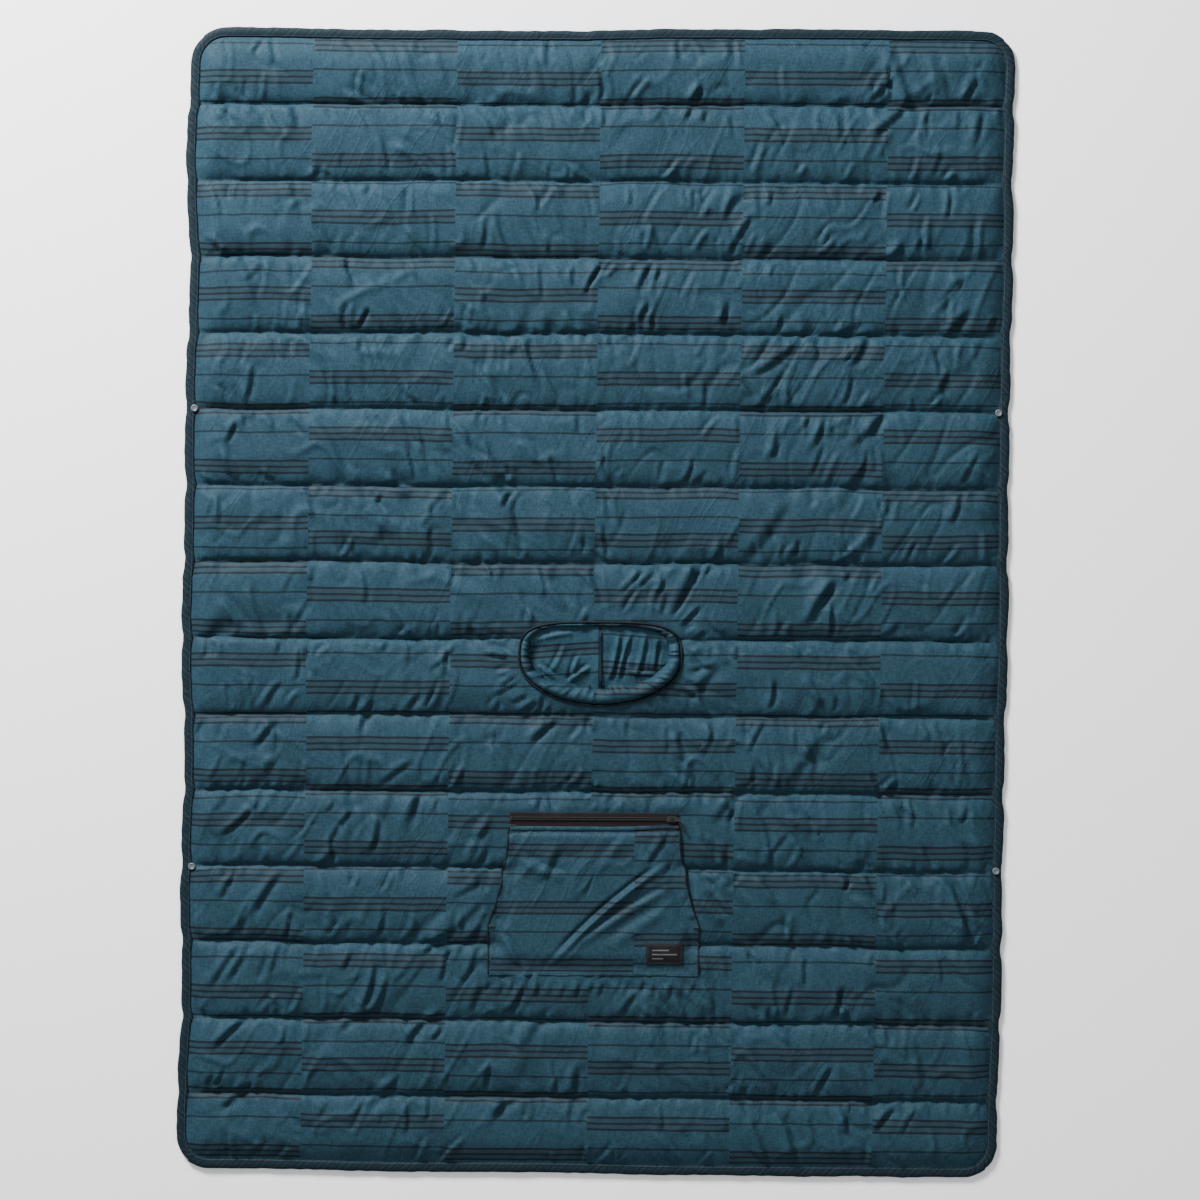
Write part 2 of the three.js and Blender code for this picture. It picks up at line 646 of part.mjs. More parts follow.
function addLabel() {
  const right = POCKET_WIDTH / 2 - LABEL_FROM_SIDE;
  const bottom = POCKET_BOTTOM_Y + LABEL_FROM_BOTTOM;
  const under = POCKET_SEWN_Z + POCKET_RISE + PANEL + CLEARANCE;
  const label = block([right - LABEL_WIDTH, bottom, under], [right, bottom + LABEL_HEIGHT, under + FABRIC]);
  add(pocket, "label", label, woven);
}

function addZip() {
  const inner = ZIP_CHAIN_GAP / 2;
  const half = ZIP_HALF_LENGTH;
  const tapes = [
    { name: "upper", sign: 1 },
    { name: "lower", sign: -1 },
  ];
  for (const { name, sign } of tapes) {
    const span = (from, to) => [ZIP_Y + sign * from, ZIP_Y + sign * to].sort((a, b) => a - b);
    const [tape0, tape1] = span(inner, inner + ZIP_TAPE_WIDTH);
    const tapeEnd = POCKET_TOP_WIDTH / 2;
    const tape = block([-tapeEnd, tape0, TAPE_BOTTOM], [tapeEnd, tape1, TAPE_BOTTOM + FABRIC]);
    add(zip, `zip_tape_${name}`, tape, taped);
    const [coil0, coil1] = span(inner, inner + ZIP_COIL_WIDTH);
    const coil = block([-half, coil0, COIL_BOTTOM], [half, coil1, COIL_BOTTOM + ZIP_COIL_HEIGHT]);
    add(zip, `zip_coil_${name}`, coil, taped);
  }
  for (const side of SIDES) {
    const x = [side.sign * (half + CLEARANCE), side.sign * (half + ZIP_STOP_LENGTH)];
    x.sort((a, b) => a - b);
    const reach = inner + ZIP_COIL_WIDTH;
    const stop = block(
      [x[0], ZIP_Y - reach, COIL_BOTTOM],
      [x[1], ZIP_Y + reach, COIL_BOTTOM + ZIP_COIL_HEIGHT],
    );
    add(zip, `zip_stop_${side.name}`, stop, metal);
  }
}

function addSlider() {
  const long = SLIDER_LENGTH / 2;
  const wide = SLIDER_WIDTH / 2;
  const wing = (bottom) => {
    const shape = new THREE.Shape();
    shape.moveTo(-long, -wide * 0.6);
    shape.lineTo(-long * 0.5, -wide);
    shape.lineTo(long, -wide);
    shape.lineTo(long, wide);
    shape.lineTo(-long * 0.5, wide);
    shape.lineTo(-long, wide * 0.6);
    return prism(shape, bottom, bottom + SLIDER_WING);
  };
  const blade = SLIDER_POST / 2;
  const leg = (sign) => {
    const x = [sign * (BRIDGE_LENGTH / 2 - BRIDGE_WALL), (sign * BRIDGE_LENGTH) / 2];
    x.sort((a, b) => a - b);
    return block(
      [x[0], -BRIDGE_WIDTH / 2, TOP_WING_TOP - SLIDER_WING / 2],
      [x[1], BRIDGE_WIDTH / 2, BRIDGE_BOTTOM + BRIDGE_WALL],
    );
  };
  const bar = block(
    [-BRIDGE_LENGTH / 2, -BRIDGE_WIDTH / 2, BRIDGE_BOTTOM],
    [BRIDGE_LENGTH / 2, BRIDGE_WIDTH / 2, BRIDGE_BOTTOM + BRIDGE_WALL],
  );
  const post = block(
    [-long * 0.5, -blade, WING_BOTTOM + SLIDER_WING / 2],
    [long * 0.5, blade, TOP_WING_BOTTOM + SLIDER_WING / 2],
  );
  const slider = wing(WING_BOTTOM).add(wing(TOP_WING_BOTTOM)).add(post).add(leg(-1)).add(leg(1)).add(bar);
  add(zip, "zip_slider", slider.translate([SLIDER_X, ZIP_Y, 0]), metal);

  // The pull lies past the end of the zip. Its end bar turns under the bridge, which its window goes round.
  const side = PULL_WIDTH / 2;
  const tab = new THREE.Shape();
  tab.moveTo(-PULL_BAR / 2, side);
  tab.lineTo(-PULL_BAR / 2, -side);
  tab.lineTo(PULL_LENGTH - side, -side);
  tab.absarc(PULL_LENGTH - side, 0, side, -Math.PI / 2, Math.PI / 2);
  const window = block(
    [PULL_BAR / 2, -PULL_WINDOW_WIDTH / 2, -PULL_BAR],
    [PULL_BAR / 2 + PULL_WINDOW_LENGTH, PULL_WINDOW_WIDTH / 2, PULL_BAR],
  );
  const holeX = PULL_LENGTH - side;
  const pull = prism(tab, -PULL_BAR / 2, PULL_BAR / 2)
    .subtract(window)
    .subtract(pin(holeX, 0, PULL_HOLE, -PULL_BAR, PULL_BAR));
  const place = [SLIDER_X, ZIP_Y, PULL_AXIS_Z];
  add(zip, "zip_pull", pull.translate(place), metal);

  // A loop of cord goes up through the tab's hole and lies off to one side.
  const along = new THREE.Vector3(Math.cos(CORD_ANGLE), Math.sin(CORD_ANGLE), 0);
  const across = new THREE.Vector3(-along.y, along.x, 0);
  const at = (share, spread, lift) =>
    new THREE.Vector3(holeX, 0, lift)
      .addScaledVector(along, share * CORD_LOOP_LENGTH)
      .addScaledVector(across, spread);
  const loop = new THREE.CatmullRomCurve3(
    [
      at(0, 0, 0),
      at(0.09, 0, CORD_LIFT),
      at(0.3, CORD_SPREAD, CORD_LIFT),
      at(0.7, CORD_SPREAD, CORD_LIFT * 0.5),
      at(1, 0, 0),
      at(0.7, -CORD_SPREAD, -CORD_LIFT * 0.5),
      at(0.3, -CORD_SPREAD, -CORD_LIFT),
      at(0.09, 0, -CORD_LIFT),
    ],
    true,
  );
  const strand = new THREE.Shape();
  strand.absarc(0, 0, CORD_DIAMETER / 2, 0, 2 * Math.PI);
  const options = { steps: 48, curveSegments: 4, bevelEnabled: false, extrudePath: loop };
  const cord = solidOf(new THREE.ExtrudeGeometry(strand, options));
  add(zip, "zip_pull_loop", cord.translate(place), taped);
}

for (const half of HALVES) {
  addLayers(half);
  addBinding(half);
  addSnaps(half);
}
addQuiltSeams();
addNeck();
addPocket();
addLabel();
addZip();
addSlider();

export default blanket;
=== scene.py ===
"""The camp blanket's looks: quilted printed cloth, bound rim, hooded neck, zipped pocket and side snaps.

Lengths are in metres. +X is to the blanket's right, +Y runs to its back hem and +Z points up from the floor.
Cloth is described by its place on the flat blanket, and its UV map holds that place in metres.
"""

import logging
import math
from dataclasses import dataclass, field
from enum import Enum
from typing import Sequence

import bmesh
import bpy
import numpy as np
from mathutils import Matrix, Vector

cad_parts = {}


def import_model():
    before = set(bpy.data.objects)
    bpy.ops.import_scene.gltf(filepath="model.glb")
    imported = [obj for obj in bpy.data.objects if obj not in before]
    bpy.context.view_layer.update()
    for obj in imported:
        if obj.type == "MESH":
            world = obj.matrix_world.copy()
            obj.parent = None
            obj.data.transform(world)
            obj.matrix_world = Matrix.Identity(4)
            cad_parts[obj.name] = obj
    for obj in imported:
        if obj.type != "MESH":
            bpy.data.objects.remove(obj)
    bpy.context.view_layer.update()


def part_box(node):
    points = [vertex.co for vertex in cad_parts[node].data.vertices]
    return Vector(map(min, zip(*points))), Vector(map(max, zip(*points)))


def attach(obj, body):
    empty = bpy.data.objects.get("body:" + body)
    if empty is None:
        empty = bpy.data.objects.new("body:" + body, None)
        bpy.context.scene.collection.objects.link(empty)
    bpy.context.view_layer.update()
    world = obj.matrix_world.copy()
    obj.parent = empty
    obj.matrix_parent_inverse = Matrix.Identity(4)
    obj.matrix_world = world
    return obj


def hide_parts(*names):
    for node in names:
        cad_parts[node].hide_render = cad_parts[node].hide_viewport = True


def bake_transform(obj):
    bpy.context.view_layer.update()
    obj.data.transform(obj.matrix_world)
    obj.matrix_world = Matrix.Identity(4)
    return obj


LOG = logging.getLogger("camp_blanket")
Array = np.ndarray
Socket = bpy.types.NodeSocket
Colour = tuple[float, float, float, float]


# ---------------------------------------------------------------- sizes


class Half(Enum):
    """The blanket's two halves, on either side of the fold, by the name of the body that carries each."""

    BACK = "back_half"
    FRONT = "front_half"

    @property
    def part(self) -> str:
        """The half's short name, as pieces and nodes have it."""
        return self.value.split("_")[0]


@dataclass(frozen=True)
class Layout:
    """The blanket's main sizes and the places that follow from them."""

    length: float = 2.0
    width: float = 1.44
    corner: float = 0.06
    channels: int = 15
    fold_seam: int = 8
    binding: float = 0.017
    seam_height: float = 0.0048
    crown: float = 0.0185
    fold_reach: float = 0.042
    neck_half_width: float = 0.140
    neck_back: float = 0.062
    neck_front: float = 0.080
    neck_before_fold: float = 0.033
    neck_x: float = 0.009
    front_roundness: float = 2.0
    back_roundness: float = 3.6

    @property
    def channel(self) -> float:
        """Distance between two seams."""
        return self.length / self.channels

    @property
    def fold_y(self) -> float:
        """Where the blanket folds."""
        return self.seam_y(self.fold_seam)

    @property
    def neck_y(self) -> float:
        """The neck hole's widest line."""
        return self.fold_y - self.neck_before_fold

    def seam_y(self, number: int) -> float:
        """The place of a seam, counted from the back hem."""
        return self.length / 2 - number * self.channel

    def nearest_seam(self, y: Array, first: int, last: int) -> tuple[Array, Array]:
        """The seam that is nearest to each place."""
        number = np.clip(np.round((self.length / 2 - y) / self.channel), first, last)
        return number, y - (self.length / 2 - number * self.channel)

    def drift(self, points: Array) -> Array:
        """Points of the flat blanket as it lies, a little askew and drawn in and out along its sides.

        Args:
            points: Places on the flat blanket.

        Returns:
            The same points, moved.
        """
        x, y = points[..., 0], points[..., 1]
        side = np.clip((np.abs(x) - 0.25) / 0.47, 0, 1) ** 2
        end = np.clip((np.abs(y) - 0.55) / 0.45, 0, 1) ** 2
        sway = 0.0050 * side * waviness(y, np.sign(x), 0.21, 1.7, 301)
        points[..., 0] += 0.0075 * y + sway + 0.003 * y * x / 0.72
        points[..., 1] += 0.0045 * end * waviness(x, np.sign(y), 0.26, 1.7, 303)
        points[..., 1] -= 0.0035 * smooth((-y - 0.1) / 0.5) * x / 0.72
        return points

    def blend(self, piece: bpy.types.Object) -> None:
        """Bakes a piece's placement into its mesh.

        Args:
            piece: The piece.
        """
        start = (0.0, self.fold_y + self.fold_reach, 0.0)
        end = (0.0, self.fold_y - self.fold_reach, 0.0)
        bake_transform(piece)


# ---------------------------------------------------------------- shapes of cloth


def smooth(value: Array) -> Array:
    """A value from 0 to 1, eased at both ends."""
    t = np.clip(value, 0.0, 1.0)
    return t * t * (3.0 - 2.0 * t)


def waviness(x: Array, y: Array, size_x: float, size_y: float, seed: int) -> Array:
    """Smooth waves between -1 and 1 over a plane.

    Args:
        x: Places along X.
        y: Places along Y.
        size_x: Length of a wave along X.
        size_y: Length of a wave along Y.
        seed: Picks the waves.

    Returns:
        One value for each place.
    """
    lattice = np.random.default_rng(seed).uniform(-1.0, 1.0, (96, 96))
    gx, gy = np.asarray(x) / size_x + 40.31, np.asarray(y) / size_y + 40.77
    ix, iy = np.floor(gx).astype(int), np.floor(gy).astype(int)
    fx, fy = smooth(gx - ix), smooth(gy - iy)
    a = lattice[ix % 96, iy % 96] * (1 - fx) + lattice[(ix + 1) % 96, iy % 96] * fx
    b = lattice[ix % 96, (iy + 1) % 96] * (1 - fx) + lattice[(ix + 1) % 96, (iy + 1) % 96] * fx
    return a * (1 - fy) + b * fy


def ridges(x: Array, y: Array, lean: float, size: float, stretch: float, sharp: float, seed: int) -> Array:
    """A patchy web of narrow ridges, as thin coated cloth makes when it has been packed.

    Args:
        x: Places along X.
        y: Places along Y.
        lean: How far the ridges lean from Y, in degrees, positive when their far end is to the left.
        size: Distance between ridges.
        stretch: How much longer they are than they are far apart.
        sharp: Share of the distance that a ridge takes up.
        seed: Picks the web.

    Returns:
        0 between the ridges and up to 1 on them.
    """
    c, s = math.cos(math.radians(lean)), math.sin(math.radians(lean))
    web = waviness(x * c + y * s, y * c - x * s, size, size * stretch, seed)
    patch = smooth((waviness(x, y, 0.12, 0.10, seed + 500) + 0.35) / 0.7)
    return np.clip(1 - np.abs(web) / sharp, 0, 1) ** 1.3 * patch


@dataclass(frozen=True)
class Crease:
    """A long fold in the cloth, from one place to another, with a valley along one side of its ridge."""

    start: tuple[float, float]
    end: tuple[float, float]
    height: float
    breadth: float
    bow: float = 0.0

    def rise(self, x: Array, y: Array) -> Array:
        """How far the fold lifts the cloth at each place, less than 0 in its valley.

        Args:
            x: Places along X.
            y: Places along Y.

        Returns:
            The lift in metres.
        """
        a, b = np.array(self.start), np.array(self.end)
        length = float(np.linalg.norm(b - a))
        along, side = (b - a) / length, np.array([a[1] - b[1], b[0] - a[0]]) / length
        t = ((x - a[0]) * along[0] + (y - a[1]) * along[1]) / length
        s = (x - a[0]) * side[0] + (y - a[1]) * side[1]
        s = s - self.bow * 4.0 * t * (1.0 - t)
        ends = smooth(np.clip(t / 0.3, 0, 1)) * smooth(np.clip((1 - t) / 0.3, 0, 1))
        ridge = np.exp(-((s / self.breadth) ** 2))
        valley = np.exp(-(((s - 1.35 * self.breadth) / (0.8 * self.breadth)) ** 2))
        return self.height * ends * (ridge - 0.85 * valley)


@dataclass
class GatheredSheet:
    """Cloth on a grid that is longer than the space it is sewn into, settled by relaxing its threads."""

    xs: Array
    ys: Array
    height: Array
    held: Array
    low: Array
    high: Array
    extra_x: float
    extra_y: float
    points: Array = field(init=False)
    free: Array = field(init=False)

    def __post_init__(self) -> None:
        """Lays the cloth at its first height."""
        gx, gy = np.meshgrid(self.xs, self.ys)
        self.points = np.stack([gx, gy, self.height], axis=-1).astype(np.float32)
        self.free = np.where(self.held, 0.0, 1.0).astype(np.float32)[..., None]

    def _pull(self, a: tuple, b: tuple, rest: float, stiffness: float) -> None:
        """Brings each thread between two sets of points to its own length.

        Args:
            a: The first set of points.
            b: The second set.
            rest: The threads' own length.
            stiffness: Share of the difference that is closed.
        """
        p, q = self.points[a], self.points[b]
        gap = q - p
        size = np.sqrt(np.einsum("ijk,ijk->ij", gap, gap))
        share = (stiffness * 0.5 * (size - rest) / np.maximum(size, 1e-9))[..., None]
        move = gap * share
        self.points[a] = p + move * self.free[a]
        self.points[b] = q - move * self.free[b]

    def settle(self, rounds: int, lift: float, calm: float) -> Array:
        """Relaxes the cloth.

        Args:
            rounds: How many times every thread is pulled.
            lift: Share of the way to the wadding's full height that the cloth is pushed each round.
            calm: How strongly the cloth resists sharp bends.

        Returns:
            The points, as rows of columns.
        """
        fixed = self.points[self.held].copy()
        step_x = float(self.xs[1] - self.xs[0])
        step_y = float(self.ys[1] - self.ys[0])
        rest_x, rest_y = step_x * (1 + self.extra_x), step_y * (1 + self.extra_y)
        slant = math.hypot(rest_x, rest_y)
        diagonal_pull = 0.25
        every, but_last, but_first = slice(None), slice(None, -1), slice(1, None)
        pairs = [(slice(first, -1, 2), slice(first + 1, None, 2)) for first in (0, 1)]
        low, high = self.low.astype(np.float32), self.high.astype(np.float32)
        for _ in range(rounds):
            z = self.points[..., 2]
            z += lift * (high - z) * self.free[..., 0]
            for one, two in pairs:
                self._pull((every, one), (every, two), rest_x, 1.0)
                self._pull((one, every), (two, every), rest_y, 1.0)
            for one, two in pairs:
                self._pull((but_last, one), (but_first, two), slant, diagonal_pull)
                self._pull((but_first, one), (but_last, two), slant, diagonal_pull)
            z = self.points[..., 2]
            mean = z.copy()
            mean[1:-1, 1:-1] = 0.25 * (z[:-2, 1:-1] + z[2:, 1:-1] + z[1:-1, :-2] + z[1:-1, 2:])
            z += calm * (mean - z)
            np.clip(z, low, high, out=z)
            self.points[self.held] = fixed
        return self.points


def finer(points: Array, count_y: int, count_x: int) -> Array:
    """The same surface on a grid of another size.

    Args:
        points: The surface, as rows of columns of points.
        count_y: Rows of the new grid.
        count_x: Columns of the new grid.

    Returns:
        The points on the new grid.
    """
    rows, columns = points.shape[:2]
    v = np.linspace(0, rows - 1, count_y)
    u = np.linspace(0, columns - 1, count_x)
    v0 = np.minimum(v.astype(int), rows - 2)
    u0 = np.minimum(u.astype(int), columns - 2)
    fv, fu = (v - v0)[:, None, None], (u - u0)[None, :, None]
    top = points[v0][:, u0] * (1 - fu) + points[v0][:, u0 + 1] * fu
    bottom = points[v0 + 1][:, u0] * (1 - fu) + points[v0 + 1][:, u0 + 1] * fu
    return top * (1 - fv) + bottom * fv


def all_corners(mask: Array) -> Array:
    """Which faces of a grid have all four of their points in a mask."""
    return mask[:-1, :-1] & mask[:-1, 1:] & mask[1:, 1:] & mask[1:, :-1]


def spread(values: Array, extreme: np.ufunc, steps: int) -> Array:
    """The lowest or the highest value near each place.

    Args:
        values: One value for each place.
        extreme: Picks the lower or the higher of two values.
        steps: How many grid steps it reaches.

    Returns:
        One value for each place.
    """
    for _ in range(steps):
        for axis in (0, 1):
            values = extreme(values, extreme(np.roll(values, 1, axis), np.roll(values, -1, axis)))
    return values


def upright(count: int) -> Array:
    """The upward direction, once for each point of a path."""
    return np.tile([0.0, 0.0, 1.0], (count, 1))


# ---------------------------------------------------------------- meshes


def linked(name: str, data: bpy.types.ID) -> bpy.types.Object:
    """A new object in the scene, made of a mesh, a light or a camera.

    Args:
        name: The object's name.
        data: What the object shows.

    Returns:
        The new object.
    """
    piece = bpy.data.objects.new(name, data)
    bpy.context.scene.collection.objects.link(piece)
    return piece


def make_mesh(
    name: str,
    points: Array,
    faces: Sequence[Sequence[int]] | Array,
    uv: Array | None = None,
    soft: bool = True,
) -> bpy.types.Object:
    """A mesh object in the scene.

    Args:
        name: The piece's name.
        points: One row of three numbers for each point.
        faces: The points of each face.
        uv: A place on the flat cloth for each point.
        soft: Whether its faces are shaded smooth.

    Returns:
        The new object.
    """
    mesh = bpy.data.meshes.new(name)
    listed = faces.tolist() if isinstance(faces, np.ndarray) else [list(f) for f in faces]
    mesh.from_pydata(np.asarray(points, float).reshape(-1, 3).tolist(), [], listed)
    if uv is not None:
        layer = mesh.uv_layers.new(name="cloth")
        corner = np.zeros(len(mesh.loops), dtype=np.int32)
        mesh.loops.foreach_get("vertex_index", corner)
        layer.data.foreach_set("uv", np.asarray(uv, np.float32).reshape(-1, 2)[corner].ravel())
    mesh.polygons.foreach_set("use_smooth", [soft] * len(mesh.polygons))
    mesh.update()
    return linked(name, mesh)


def trimmed_mesh(name: str, points: Array, faces: Array, uv: Array) -> bpy.types.Object:
    """A mesh object with only those points that its faces use.

    Args:
        name: The piece's name.
        points: The points that the faces pick from.
        faces: The points of each face.
        uv: The flat cloth's place of each point.

    Returns:
        The new object.
    """
    used, renumbered = np.unique(faces, return_inverse=True)
    flat = uv.reshape(-1, 2)[used]
    return make_mesh(name, points.reshape(-1, 3)[used], renumbered.reshape(faces.shape), flat)


def laid_cloth(name: str, x: Array, y: Array, z: Array, uv: Array | None = None) -> bpy.types.Object:
    """A single layer of cloth on a grid of places."""
    flat = np.stack([x, y], -1) if uv is None else uv
    return make_mesh(name, np.stack([x, y, z], -1), grid_faces(*x.shape), flat.reshape(-1, 2))


def thicken(piece: bpy.types.Object, thickness: float, offset: float = -1.0) -> None:
    """Gives a single layer of cloth its thickness.

    Args:
        piece: The cloth.
        thickness: How thick the cloth is.
        offset: -1 to add it underneath and 1 to add it on top.
    """
    thick = piece.modifiers.new("cloth", "SOLIDIFY")
    thick.thickness = thickness
    thick.offset = offset


def band_faces(here: Array, follow: Array) -> Array:
    """The faces between each ring of points and the ring that follows it."""
    return np.stack([here, np.roll(here, -1, 1), np.roll(follow, -1, 1), follow], axis=-1).reshape(-1, 4)


def grid_faces(rows: int, columns: int, keep: Array | None = None) -> Array:
    """The faces of a grid of points, facing up, with only the kept ones if a mask is given.

    Args:
        rows: Rows of the grid.
        columns: Columns of the grid.
        keep: Which faces stay.

    Returns:
        The four points of each face.
    """
    at = np.arange(rows * columns).reshape(rows, columns)
    faces = np.stack([at[:-1, :-1], at[:-1, 1:], at[1:, 1:], at[1:, :-1]], axis=-1)
    return faces.reshape(-1, 4) if keep is None else faces[keep]


def closed_pad(
    name: str, top: Array, bottom: Array, uv: Array, keep: Array | None = None
) -> bpy.types.Object:
    """A closed piece between two grids of points.

    Args:
        name: The piece's name.
        top: The upper surface, as rows of columns of points.
        bottom: The lower surface, on the same grid.
        uv: The flat cloth's place of each point of the grid.
        keep: Which of the grid's faces the piece has.

    Returns:
        The new object.
    """
    rows, columns = top.shape[:2]
    count = rows * columns
    upper = grid_faces(rows, columns, keep)
    lower = upper[:, ::-1] + count
    edges: dict[tuple[int, int], tuple[int, int]] = {}
    for face in upper.tolist():
        for a, b in zip(face, face[1:] + face[:1]):
            key = (min(a, b), max(a, b))
            if key in edges:
                del edges[key]
            else:
                edges[key] = (a, b)
    walls = np.array([[b, a, a + count, b + count] for a, b in edges.values()])
    faces = np.concatenate([upper, lower, walls])
    points = np.concatenate([top.reshape(-1, 3), bottom.reshape(-1, 3)])
    both = np.concatenate([uv.reshape(-1, 2)] * 2)
    return trimmed_mesh(name, points, faces, both)


def swept(
    name: str,
    path: Array,
    sides: Array,
    ups: Array,
    profile: Array,
    closed: bool,
    uv_across: Array | None = None,
) -> bpy.types.Object:
    """A piece whose closed profile follows a path.

    Args:
        name: The piece's name.
        path: The path's points.
        sides: The direction at each point that the profile's first number goes along.
        ups: The direction that its second number goes along.
        profile: The profile's points, or one profile for each point of the path.
        closed: Whether the path closes on itself.
        uv_across: The second cloth coordinate of each point of the profile.

    Returns:
        The new object.
    """
    count = len(path)
    shape = profile if profile.ndim == 3 else np.repeat(profile[None], count, axis=0)
    around = shape.shape[1]
    points = path[:, None] + sides[:, None] * shape[..., :1] + ups[:, None] * shape[..., 1:]
    gaps = np.linalg.norm(np.diff(path, axis=0), axis=1)
    run = np.concatenate([[0.0], np.cumsum(gaps)])
    across = np.linspace(0, 0.04, around) if uv_across is None else uv_across
    uv = np.stack(np.broadcast_arrays(run[:, None], across[None, :]), axis=-1)
    at = np.arange(count * around).reshape(count, around)
    follow = np.roll(at, -1, axis=0) if closed else at[1:]
    here = at if closed else at[:-1]
    listed: list[list[int]] = band_faces(here, follow).tolist()
    if not closed:
        listed += [at[0][::-1].tolist(), at[-1].tolist()]
    piece = make_mesh(name, points.reshape(-1, 3), listed, uv.reshape(-1, 2))
    outward(piece)
    return piece


def outward(piece: bpy.types.Object) -> None:
    """Turns a closed piece's faces outwards.

    Args:
        piece: The piece.
    """
    work = bmesh.new()
    work.from_mesh(piece.data)
    bmesh.ops.recalc_face_normals(work, faces=work.faces)
    work.to_mesh(piece.data)
    work.free()


def turned(
    name: str, centre: Sequence[float], profile: Sequence[tuple[float, float]], around: int = 40
) -> bpy.types.Object:
    """A turned piece on an upright axis, closed at both ends.

    Args:
        name: The piece's name.
        centre: A place on the axis, where the profile's heights are measured from.
        profile: A radius and a height for each ring.
        around: How many points each ring has.

    Returns:
        The new object.
    """
    angles = np.arange(around) * 2 * math.pi / around
    ring = np.stack([np.cos(angles), np.sin(angles)], -1)
    rings = [np.column_stack([centre[:2] + r * ring, np.full(around, centre[2] + z)]) for r, z in profile]
    at = np.arange(len(rings) * around).reshape(len(rings), around)
    faces = band_faces(at[:-1], at[1:]).tolist() + [at[0][::-1].tolist(), at[-1].tolist()]
    piece = make_mesh(name, np.concatenate(rings), faces)
    outward(piece)
    return piece


def tint(colour: Sequence[float], factor: float, more: float = 0.0) -> list[float]:
    """A colour made lighter or darker, and opaque."""
    return [min(1.0, c * factor + more) for c in colour[:3]] + [1.0]


# ---------------------------------------------------------------- finishes


